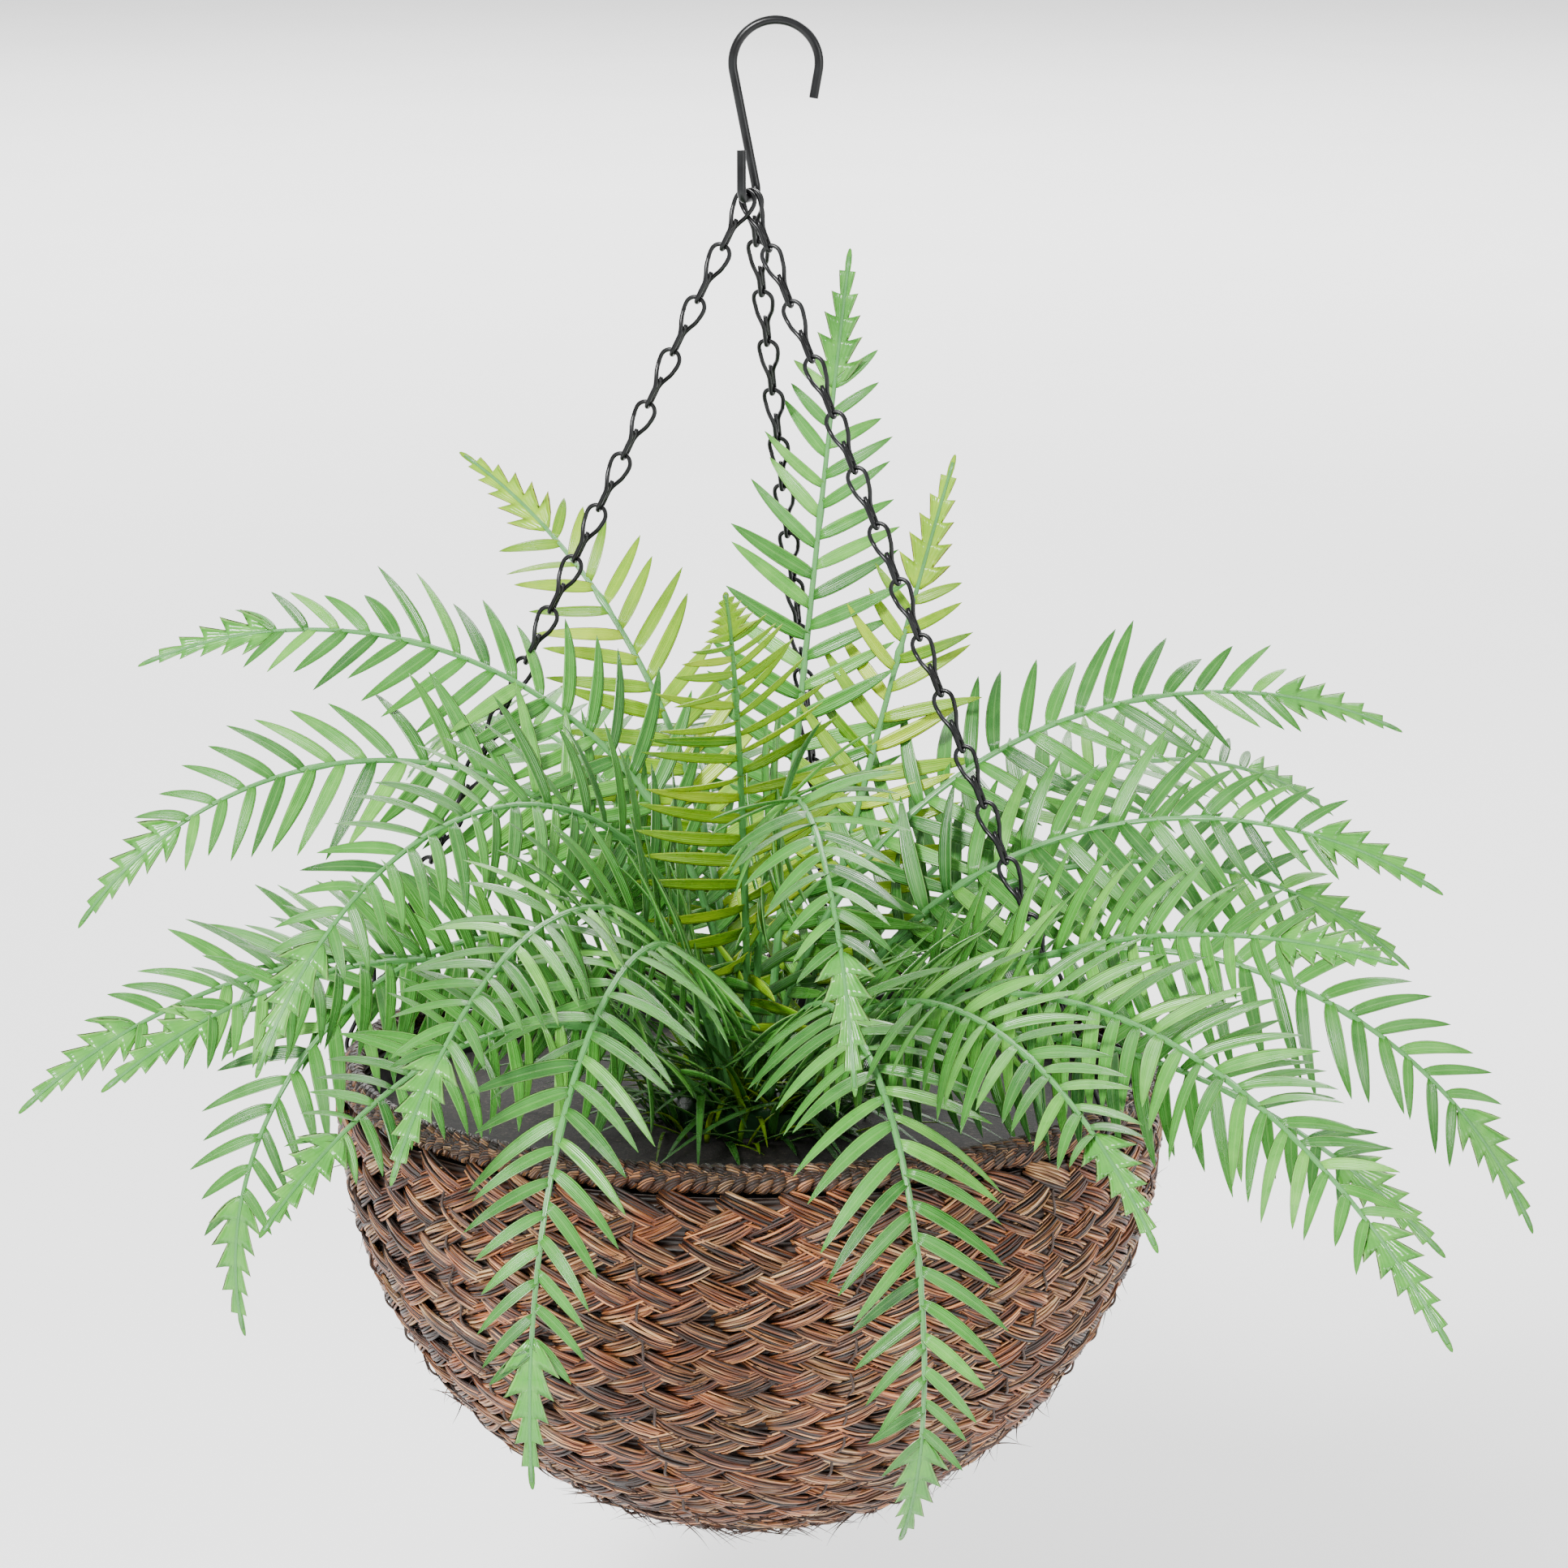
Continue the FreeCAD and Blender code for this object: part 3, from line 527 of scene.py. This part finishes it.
def build_bowl():
    """Plait rows down to the base, which is the last few rings as one piece."""
    radii, heights, normals = wall_stations()
    named = sum(name.startswith("plait_row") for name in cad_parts)
    rows = [plait_row(r, z, n, seed, ROW_STATIONS if seed < named else BASE_STATIONS)
            for seed, (r, z, n) in enumerate(zip(radii, heights, normals)) if r > SMALLEST_ROW]
    for i in range(named):
        # the straws take PLAIT; the core's near-black rush is painted shade in the holes between
        # bundles
        add_piece("plait_%02d" % (i + 1), rows[i], [PLAIT, PAINTED_SHADE_RUSH],
                  replaces=["plait_row_%02d" % (i + 1)])
    base = [part for row in rows[named:] for part in row]
    order = [number for _ in rows[named:] for number in (0, 1)]
    add_piece("plait_base", base, [PLAIT, PAINTED_SHADE_RUSH], order=order, replaces=["base_coil"])


# ---- rim: a cord whipped with rush --------------------------------------------------------

WHIP_PITCH = 13 * MM        # along the rope, for one turn of the plait
WHIP_FACE = math.radians(35)    # above level, the way its face looks
ROPE_CORE_R = 2.9 * MM


def build_rope():
    """A small tight plait that faces out and up, over a hidden core."""
    centre_z = rope_lo[2] + ROPE_R
    turns = round(TAU * ROPE_CENTRE_R / WHIP_PITCH)
    braid = plait(lambda az: around(az, ROPE_CENTRE_R, centre_z),
                  lambda az: np.stack([np.cos(az) * math.cos(WHIP_FACE),
                                       np.sin(az) * math.cos(WHIP_FACE),
                                       np.full(len(az), math.sin(WHIP_FACE))], -1),
                  turns, swing=2.8 * MM, deep=1.7 * MM, tuck=0.6 * MM, wide=2.5 * MM,
                  thick=1.9 * MM, seed=77)
    turn = np.arange(12) / 12 * TAU
    az = np.arange(180) / 180 * TAU
    core = around(az[:, None], ROPE_CENTRE_R + ROPE_CORE_R * np.cos(turn),
                  centre_z + ROPE_CORE_R * np.sin(turn))[None]
    core = tubes_round(core, np.broadcast_to(turn * ROPE_CORE_R, core.shape[:3]),
                       np.broadcast_to((az * ROPE_CENTRE_R)[:, None], core.shape[:3]))
    add_piece("rope_whipping", [braid, core], [ROPE], replaces=["rim_rope"])


# ---- sewing thread ------------------------------------------------------------------------

SEAMS = 12
SEAM_AZ = math.radians(15)  # of the first one
SEAM_END = 0.86             # share of the way down the wall's ellipse where they stop
THREAD_R, THREAD_OUT, THREAD_PULL = 0.5 * MM, 2.3 * MM, 1.3 * MM


def build_seams():
    """Waxed thread sewn down the wall through neighbouring rows: it rides over the middle of
    a row and is pulled in between rows, by THREAD_PULL times a cosine of the way down."""
    seams, stations = SEAMS, 240
    stop = SEAM_END * math.pi / 2
    t = np.linspace(0.03, stop, stations)
    steps = np.hypot(WALL_A * np.diff(np.cos(t)), WALL_B * np.diff(np.sin(t)))
    gone = np.concatenate([[0], np.cumsum(steps)])
    pull = np.cos(gone / PLAIT_PITCH * TAU + math.pi)
    az = (np.arange(seams) * TAU / seams)[:, None] + SEAM_AZ
    wander = sum(rng.normal(0, 0.5, (seams, 1))
                 * np.sin(gone / MM / span + rng.uniform(0, TAU, (seams, 1)))
                 for span in (9.0, 4.1, 2.3)) * 1.6 * MM
    az = az + wander / np.maximum(WALL_A * np.cos(t), 20 * MM)
    normal = unit(np.stack([np.cos(t) / WALL_A, -np.sin(t) / WALL_B], -1))
    out = np.stack([normal[:, 0] * np.cos(az), normal[:, 0] * np.sin(az),
                    np.broadcast_to(normal[:, 1], az.shape)], -1)
    line = (around(az, WALL_A * np.cos(t), WALL_Z - WALL_B * np.sin(t))
            + out * (THREAD_OUT + THREAD_PULL * pull)[:, None])
    go = unit(np.gradient(line, axis=1))
    flat = unit(np.cross(out, go))
    turn = np.arange(6) / 6 * TAU
    rings = (line[:, :, None] + flat[:, :, None] * (THREAD_R * np.cos(turn))[:, None]
             + out[:, :, None] * (THREAD_R * np.sin(turn))[:, None])
    add_piece("seam_threads", [tubes(rings, turn * THREAD_R, gone[:, None] + 0 * turn)], [THREAD],
              replaces=["sewing_thread"])


# ---- loose ends of rush -------------------------------------------------------------------

FIBRES, FIBRE_R, FIBRE_LONG = 900, 0.28 * MM, (5, 15)   # how many, half thickness, mm long


def build_fibres():
    """Short curved hairs of rush that stand off the wall, as cut ends of a dry plait do."""
    count, stations, points = FIBRES, 6, 4
    az = rng.uniform(0, TAU, count)
    t = np.arccos(rng.uniform(0.05, 1, count)) * 0.98
    normal = unit(np.stack([np.cos(t) / WALL_A, -np.sin(t) / WALL_B], -1))
    out = np.stack([normal[:, 0] * np.cos(az), normal[:, 0] * np.sin(az), normal[:, 1]], -1)
    root = around(az, WALL_A * np.cos(t), WALL_Z - WALL_B * np.sin(t)) + out * 2.6 * MM
    ahead = np.stack([-np.sin(az), np.cos(az), 0 * az], -1)
    down = np.cross(ahead, out)
    length = rng.uniform(*FIBRE_LONG, count)[:, None] * MM
    lean = unit(out * rng.uniform(0.15, 0.5, count)[:, None]
                + ahead * rng.choice([-1, 1], count)[:, None]
                + down * rng.normal(0, 0.45, count)[:, None])
    s = np.linspace(0, 1, stations)[None, :, None]
    bend = unit(rng.normal(0, 1, (count, 3))) * 0.25
    path = root[:, None] + length[:, None] * (lean[:, None] * s + bend[:, None] * s ** 2)
    turn = np.arange(points) / points * TAU
    ring = (out[:, None] * np.cos(turn)[:, None] + down[:, None] * np.sin(turn)[:, None])
    girth = FIBRE_R * (1.1 - s[..., None]) * rng.uniform(0.6, 1.3, (count, 1, 1, 1))
    rings = path[:, :, None] + ring[:, None] * girth
    across = np.broadcast_to(turn * 0.3 * MM, rings.shape[:3])
    along = np.broadcast_to(s * 0.012, rings.shape[:3]) + rng.uniform(0, 1, (count, 1, 1))
    add_piece("rush_ends", [tubes(rings, across, along)], [FIBRE])


# ---- chains -------------------------------------------------------------------------------

BEND_AZ = math.radians(70)
HOOK_WIRE, LINK_WIRE, BEARING, ROPE_CLEAR = 3.2 * MM, 1.6 * MM, 0.12 * MM, 0.45 * MM
LINK_PITCH, HUB_TO_RIM = 20.6 * MM, 307 * MM
LINK_LENGTH = LINK_PITCH + LINK_WIRE + BEARING
EYE_R, NECK_R = 3.5 * MM, 1.95 * MM     # centreline radius of a link's wide and narrow ends
TAPER_END, TAPER_RUN = 12.5 * MM, 8.5 * MM    # down a link, where the eye has become the neck
TWIST_FROM, TWIST_RUN = 6 * MM, 9 * MM        # and where it takes its quarter turn
DOUBLED_AT, DOUBLED_R = (10.5, 13, 16, 18.2), 0.75 * MM    # mm down a link, and radius
LINKS = 5                                     # in each hinged group of a chain
# direction about +Z in degrees, and the place on the hook's bend in mm
CHAINS = {"left": (170.0, -3.4), "right": (-34.5, -0.7), "back": (78.0, 2.5)}


def build_chains():
    """Links bent from a closed loop of wire. At x down a link its two sides stand w(x) to
    either side: a round eye of EYE_R, a smooth taper, and a narrow round end of NECK_R that
    is turned a quarter turn, so it holds the next link's eye square to its own. The wire's
    doubled ends lie between the sides of the neck."""
    turn = np.arange(8) / 8 * TAU
    phi = np.arange(56) / 56 * TAU
    x = LINK_LENGTH * (1 - np.cos(phi)) / 2
    ease = np.clip((TAPER_END - x) / TAPER_RUN, 0, 1)
    middle = NECK_R + (EYE_R - NECK_R) * ease * ease * (3 - 2 * ease)
    eye = np.sqrt(np.maximum(EYE_R ** 2 - np.maximum(EYE_R - x, 0) ** 2, 0))
    neck = np.sqrt(np.maximum(NECK_R ** 2 - np.maximum(x - LINK_LENGTH + NECK_R, 0) ** 2, 0))
    end = np.where(x < EYE_R, eye, np.where(x > LINK_LENGTH - NECK_R, neck, EYE_R))
    wide = np.minimum(middle, end)
    wide = wide * np.sign(np.sin(phi) + 1e-12)
    twist = np.clip((x - TWIST_FROM) / TWIST_RUN, 0, 1)
    twist = (twist * twist * (3 - 2 * twist) * math.pi / 2)[:, None]
    hub = AXIS + np.array([0, 0, RIM_Z + HUB_TO_RIM])
    bend = np.array([math.cos(BEND_AZ), math.sin(BEND_AZ), 0])
    for name, (az, along) in CHAINS.items():
        pin = hub + bend * along * MM
        rope = around(math.radians(az), ROPE_CENTRE_R, rope_lo[2] + ROPE_R)
        way = rope - pin
        straight, level = unit(way), unit(way * np.array([1, 1, 0]))
        over = unit(level - straight * (level @ straight))
        tilt = math.asin((ROPE_R + LINK_WIRE / 2 + ROPE_CLEAR) / np.linalg.norm(way))
        d = straight * math.cos(tilt) + over * math.sin(tilt)
        n = unit(bend - d * (bend @ d))
        m = np.cross(d, n)
        seat = HOOK_WIRE / 2 + LINK_WIRE / 2 + BEARING
        top = pin - d * seat / np.linalg.norm(np.cross(d, bend))
        for group, part in enumerate(("upper", "middle", "lower")):
            tops = top + d * (LINK_PITCH * (group * LINKS + np.arange(LINKS)))[:, None]
            line = (tops[:, None] + d * x[:, None]
                    + (m * np.cos(twist) + n * np.sin(twist)) * wide[:, None])
            go = unit(np.roll(line, -1, 1) - np.roll(line, 1, 1))
            centre = tops[:, None] + d * (LINK_LENGTH / 2)
            side = unit(np.cross(go, line - centre + 0.3 * MM * (m + n)))
            up = np.cross(side, go)
            rings = (line[:, :, None] + side[:, :, None] * (LINK_WIRE / 2 * np.cos(turn))[:, None]
                     + up[:, :, None] * (LINK_WIRE / 2 * np.sin(turn))[:, None])
            shape = rings.shape[:3]
            ends = tops[:, None] + d * np.array(DOUBLED_AT)[:, None] * MM
            ends = (ends[:, :, None] + m * (DOUBLED_R * np.cos(turn))[:, None]
                    + n * (DOUBLED_R * np.sin(turn))[:, None])
            add_piece("links_%s_%s" % (name, part),
                      [tubes_round(rings, np.broadcast_to(turn * MM, shape),
                                   np.broadcast_to((phi * 8 * MM)[:, None], shape)),
                       tubes(ends, turn * MM, 0.0)],
                      [STEEL], body="chain_%s_%s" % (name, part),
                      replaces=["chain_%s_%s" % (name, part)])


# ---- fern ---------------------------------------------------------------------------------

STALK = 20 * MM
CROWN_R = 31 * MM
CROWN_RISE = 4.5 * MM
# direction about +Z, lift, length mm, total bend, ring mm, then how far the blade is turned
# to face the front (0 to 1), and whether it is one of the yellow-green ones
FRONDS = [
    (-54.5, 40, 385, 84, 21.5, 0.7, 0), (-40.5, 30, 297, 66, 18, 0.75, 0),
    (-46.5, 41, 299, 44, 26, 0.8, 0), (-12.5, 65, 278, 97, 18, 0.7, 0),
    (-18.5, 48, 315, 115, 25.5, 0.75, 0), (-3, 59, 265, 103, 12, 0.7, 0),
    (8.5, 74.5, 304, 101, 4.5, 0.65, 0), (23, 75.5, 232, 3, 15.5, 0.9, 1),
    (36, 58, 300, 95, 21, 0.5, 0), (54, 81.5, 298, 3, 9, 0.9, 0),
    (98, 56, 290, 90, 21, 0.3, 0), (120, 62, 310, 105, 21, 0.4, 0),
    (139.5, 90, 268, 68, 10, 0.9, 1), (182.5, 90, 311, 114, 9, 0.65, 0),
    (197, 83, 315, 138, 16, 0.75, 0), (210.5, 45, 286, 82, 23, 0.75, 0),
    (216, 62, 310, 166, 15.5, 0.7, 0), (225, 45, 294, 71, 23.5, 0.8, 0),
    (233, 80, 339, 141, 15, 0.7, 0), (240, 38, 297, 70, 26, 0.8, 0),
    (247.5, 62, 325, 113, 20, 0.7, 0), (255, 63, 367, 164, 24, 0.6, 0),
    (268, 74, 288, 50, 17.5, 0.9, 1), (278, 84, 338, 147, 9, 0.6, 0),
    (286, 54, 335, 187, 21.5, 0.5, 0), (296, 44, 299, 85, 23, 0.6, 0),
]
FRONT = np.array([0.0, -0.94, 0.34])


def frond_curve(az, lift, length, bend, ring, s):
    """Points, directions and level side vectors at distances s along a frond: a straight
    stalk, then a circular arc that carries the total bend."""
    az, lift = math.radians(az), math.radians(lift)
    level, up = np.array([math.cos(az), math.sin(az), 0.0]), np.array([0, 0, 1.0])
    start = around(az, ring, crown_hi[2] - (ring / CROWN_R) ** 2 * CROWN_RISE)
    go = level * math.cos(lift) + up * math.sin(lift)
    fall = level * math.sin(lift) - up * math.cos(lift)
    radius = (length - STALK) / math.radians(bend)
    a = (np.maximum(s - STALK, 0) / radius)[:, None]
    points = (start + go * np.minimum(s, STALK)[:, None]
              + radius * (np.sin(a) * go + (1 - np.cos(a)) * fall))
    side = np.cross(go, fall)
    return points, np.cos(a) * go + np.sin(a) * fall, side / np.linalg.norm(side)


# round a blade's section: place across it, and above (+) or below (-) its middle sheet
LEAF_U = np.array([-1, -0.55, 0, 0.55, 1, 0.55, 0, -0.55])
LEAF_UP = np.array([0, 1, 1, 1, 0, -1, -1.4, -1])
LEAF_T = 0.22 * MM
LEAF_STATIONS = 12
END_LEAF, END_HALF, TEETH = 50 * MM, 11.5 * MM, 6
LEAFLET_PITCH, LEAFLET_LONG, LEAFLET_HALF = 10.8 * MM, 41 * MM, 2.9 * MM
STEM_ROOT_R, STEM_TIP_R, KNOT_R, KNOT_LONG = 1.75 * MM, 0.65 * MM, 0.9 * MM, 2.2 * MM


def leaf(root, go, across_dir, face, length, half, fold, sag, t, outline, reach):
    """Blades as closed thin shells. t runs along a blade and outline(t) is its half width;
    fold lifts its margins, sag bends it over its length, and reach carries teeth forward."""
    shape = (len(root), len(t), len(LEAF_U))
    u = LEAF_U * outline[..., None]
    centre = root[:, None] + length[:, None, None] * (go[:, None] * t[None, :, None]
                                                      + sag[:, None] * (t ** 2)[None, :, None])
    rise = (np.abs(LEAF_U) ** 1.4 * outline[..., None]) * fold
    skin = LEAF_T * LEAF_UP * np.minimum(1, outline[..., None] * 2.2 + 0.15)
    points = (centre[:, :, None]
              + across_dir[:, None, None] * (u * half[:, None, None])[..., None]
              + face[:, None, None] * (rise * half[:, None, None] + skin)[..., None]
              + go[:, None, None]
              * (reach[..., None] * np.abs(LEAF_U) * half[:, None, None])[..., None])
    grain_u = np.broadcast_to(LEAF_U, shape)
    grain_v = np.broadcast_to(t[None, :, None], shape)
    return tubes(points, grain_u, grain_v)


def frond(number, az, lift, length, bend, ring, turned, tone):
    """Rachis of three plugged lengths, leaflets in two ranks, and a toothed end leaf. Past the
    stalk the blade is turned about the rachis so that its upper face looks to the front."""
    length = length * MM
    ring = ring * MM
    draw = np.random.default_rng(100 + number)

    def place(s):
        """Points, directions, and the turned side and face vectors at distances s."""
        p, go, side = frond_curve(az, lift, length, bend, ring, s)
        side = np.broadcast_to(side, go.shape)
        face = np.cross(go, side)
        want = unit(FRONT - go * (go @ FRONT)[:, None])
        angle = np.arctan2(np.sum(want * side, -1), np.sum(want * face, -1))
        ease = np.clip((s / length - 0.03) / 0.3, 0, 1)
        a = (turned * angle * ease * ease * (3 - 2 * ease))[:, None]
        return p, go, np.cos(a) * side - np.sin(a) * face, np.cos(a) * face + np.sin(a) * side

    # rachis
    s = np.linspace(3 * MM, length - 3 * MM, 72)
    p, go, side, face = place(s)
    girth = STEM_ROOT_R + (STEM_TIP_R - STEM_ROOT_R) * s / length
    for knot in (0.36, 0.68):
        girth = girth + KNOT_R * np.exp(-((s - knot * length) / KNOT_LONG) ** 2)
    turn = np.arange(8) / 8 * TAU
    rings = (p[:, None] + side[:, None] * (np.cos(turn) * girth[:, None])[..., None]
             + face[:, None] * (np.sin(turn) * girth[:, None] * 0.8)[..., None])[None]
    stem = tubes(rings, np.broadcast_to(0.5 * np.cos(turn), rings.shape[:3]),
                 np.broadcast_to(s[:, None] / length, rings.shape[:3]))

    # leaflets: sickle shaped, curving towards the tip of the frond and down
    first = 0.1 * length
    seats = np.arange(first, length - END_LEAF * 0.96, LEAFLET_PITCH)
    s = np.concatenate([seats, seats + 0.3 * LEAFLET_PITCH])
    hand = np.concatenate([np.ones(len(seats)), -np.ones(len(seats))])
    p, go, side, face = place(s)
    share = (s - first) / (length - END_LEAF - first)
    size = np.interp(share, [0, 0.12, 0.35, 0.7, 0.9, 1.05], [0.7, 0.95, 1.0, 0.84, 0.56, 0.36])
    long = LEAFLET_LONG * size * draw.uniform(0.9, 1.08, len(s))
    half = LEAFLET_HALF * (0.45 + 0.55 * size) * draw.uniform(0.92, 1.1, len(s))
    angle = np.radians(np.interp(share, [0, 1], [76, 52]) + draw.normal(0, 4, len(s)))[:, None]
    out = side * hand[:, None]
    pitch = np.radians(draw.normal(4, 8, len(s)))[:, None]
    aim = unit(out * np.sin(angle) * np.cos(pitch) + go * np.cos(angle) + face * np.sin(pitch))
    flat = unit(np.cross(face, aim))
    up = np.cross(aim, flat)
    twist = draw.normal(0, 0.2, len(s))[:, None]
    flat, up = unit(flat + up * twist), unit(up - flat * twist)
    sag = (go * 0.13 - up * 0.09
           + np.array([0, 0, -1.0]) * draw.uniform(0.0, 0.16, len(s))[:, None])
    t = np.linspace(0, 1, LEAF_STATIONS) ** 0.9
    outline = (t + 0.05) ** 0.42 * np.maximum(1 - t, 0.004) ** 0.72
    outline = np.broadcast_to(outline / outline.max(), (len(s), len(t)))
    blades = leaf(p, aim, flat, up, long, half, 0.34, sag, t, outline, np.zeros_like(outline))

    # end leaf: teeth that point forward, narrowing to a long tip
    p, go, side, face = place(np.array([length - END_LEAF]))
    t = np.concatenate([(k + np.array([0.03, 0.35, 0.7, 0.93])) / TEETH for k in range(TEETH)]
                       + [[1.0]])
    saw = np.append(np.tile([0.0, 0.3, 0.68, 1.0], TEETH), 0.0)
    outline = ((1 - t) ** 0.8 * 0.95 + 0.02) * (0.36 + 0.64 * saw) * np.minimum(1, t * 10 + 0.3)
    tip = frond_curve(az, lift, length, bend, ring, np.array([length]))[0]
    tail = leaf(p, go, side, face, np.array([END_LEAF]), np.array([END_HALF]), 0.16,
                (tip - p - go * END_LEAF) / END_LEAF, t, outline[None],
                (0.42 * saw * (1 - t))[None])
    tints = [np.full(len(stem[0]), 0.35),
             np.repeat(np.clip(draw.uniform(-0.12, 0.12) + draw.normal(0.28, 0.15, len(s)),
                               -0.1, 0.7), LEAF_STATIONS * len(LEAF_U)),
             np.full(len(tail[0]), 0.45)]
    colour = YELLOW if tone else GREEN
    add_piece("fern_frond_%02d" % number, [stem, blades, tail], [STEM, colour, colour],
              replaces=["frond_%02d" % number],
              tints=tints)


def shoots(count, tint, ring_mm, lean_deg, long_mm, half_mm, droop):
    """Blades that rise from the crown or the foam round it, lean out and bow over. All but the
    count are (least, most) ranges."""
    draw = rng.uniform
    az = draw(0, TAU, count)
    ring = draw(*ring_mm, count) * MM
    root = around(az, ring, crown_hi[2] - (ring / CROWN_R) ** 2 * CROWN_RISE - 1 * MM)
    root[:, 2] = np.where(ring > CROWN_R, foam_hi[2] + 0.3 * MM, root[:, 2])
    lean = np.radians(draw(*lean_deg, count))[:, None]
    spin = az + rng.normal(0, 0.6, count)
    level = np.stack([np.cos(spin), np.sin(spin), 0 * spin], -1)
    up = np.array([0, 0, 1.0])
    go = level * np.sin(lean) + up * np.cos(lean)
    flat = np.stack([-np.sin(spin), np.cos(spin), 0 * spin], -1)
    face = np.cross(go, flat)
    face *= np.sign(face[:, 2:3])
    t = np.linspace(0, 1, LEAF_STATIONS)
    outline = np.broadcast_to((t + 0.1) ** 0.3 * np.maximum(1 - t, 0.01) ** 0.7,
                              (count, LEAF_STATIONS))
    blades = leaf(root, go, flat, face, draw(*long_mm, count) * MM, draw(*half_mm, count) * MM, 0.4,
                  (level * 0.6 - up) * draw(*droop, count)[:, None], t, outline,
                  np.zeros_like(outline))
    return blades, np.repeat(draw(*tint, count), LEAF_STATIONS * len(LEAF_U))


def build_grass():
    """Low grass in yellow-green, and two sets of green young leaves that hide the crown."""
    sets = [shoots(110, (0, 0.55), (5, 44), (10, 75), (16, 48), (0.8, 2.2), (0.1, 0.5)),
            shoots(120, (-0.15, 0.3), (4, 34), (8, 78), (36, 82), (1.8, 3.0), (0.15, 0.6)),
            shoots(60, (-0.15, 0.2), (20, 42), (35, 88), (18, 40), (1.6, 2.6), (0.1, 0.3))]
    blades, tints = zip(*sets)
    add_piece("grass_tufts", list(blades), [YELLOW, GREEN, GREEN], replaces=["grass_blades"],
              tints=list(tints))


# ---- build --------------------------------------------------------------------------------

build_chains()
build_bowl()
build_rope()
build_seams()
build_fibres()
for number, spec in enumerate(FRONDS, 1):
    frond(number, *spec)
build_grass()
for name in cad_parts:
    if name == "hook" or name.startswith("rim_hook_") or name.endswith("hoop"):
        dress(name, STEEL)
dress("frame_ribs", STEEL)
dress("liner", FILM)
dress("foam_base", FOAM)
dress("fern_crown", CROWN)

# ---- studio -------------------------------------------------------------------------------


FLOOR_DROP, FLOOR_HALF, SKY = 0.10, 12.0, 1.05
# name, watts, size and place from the middle of the object
LAMPS = [("key", 120, 0.5, (-0.9, -1.5, 1.5)), ("fill", 16, 0.8, (1.6, -1.2, 0.4)),
         ("back", 30, 0.8, (0.6, 1.5, 1.3)), ("backdrop", 420, 5.0, (0.0, 5.0, 2.4))]
CAMERA_AWAY, CAMERA_LIFT = 1.9, math.radians(12.5)
AIM_RIGHT, AIM_UP = 11.86 * MM, 99.5 * MM      # from the bowl's axis and from the rim
SENSOR = 36.0                                  # mm wide
FOCAL = 123.31677                              # mm on that sensor: a long lens


def studio():
    """White board below, even light all round, a soft key from the upper left, and one lamp
    that looks straight down behind the object to lighten the board there."""
    low, high = cad_box
    floor_z = low[2] - FLOOR_DROP
    mesh = bpy.data.meshes.new("studio_floor")
    half = FLOOR_HALF
    corners = [(-half, -half), (half, -half), (half, half), (-half, half)]
    mesh.from_pydata([(x, y, floor_z) for x, y in corners], [], [(0, 1, 2, 3)])
    mesh.materials.append(painted_floor())
    floor = bpy.data.objects.new("studio_floor", mesh)
    bpy.context.scene.collection.objects.link(floor)
    world = bpy.data.worlds.new("studio")
    bpy.context.scene.world = world
    world.use_nodes = True
    sky = world.node_tree.nodes["Background"]
    sky.inputs["Color"].default_value = linear("ffffff")
    sky.inputs["Strength"].default_value = SKY
    aim = np.array([(low[i] + high[i]) / 2 for i in range(3)])
    for name, watts, size, at in LAMPS:
        lamp = bpy.data.lights.new(name, "AREA")
        lamp.energy, lamp.size = watts, size
        holder = bpy.data.objects.new(name, lamp)
        bpy.context.scene.collection.objects.link(holder)
        spot = Vector(aim + np.array(at))
        holder.location = spot
        look = Vector((0, 0, -1)) if name == "backdrop" else Vector(aim) - spot
        holder.rotation_euler = look.to_track_quat("-Z", "Y").to_euler()


def camera():
    """Long lens level with the foliage, looking slightly down at the rim."""
    target = Vector((AXIS[0] + AIM_RIGHT, AXIS[1], RIM_Z + AIM_UP))
    lens = bpy.data.cameras.new("camera")
    lens.sensor_width, lens.lens = SENSOR, FOCAL
    holder = bpy.data.objects.new("camera", lens)
    bpy.context.scene.collection.objects.link(holder)
    way = Vector((0, -math.cos(CAMERA_LIFT), math.sin(CAMERA_LIFT)))
    holder.location = target + CAMERA_AWAY * way
    holder.rotation_euler = (target - holder.location).to_track_quat("-Z", "Y").to_euler()
    bpy.context.scene.camera = holder


studio()
camera()
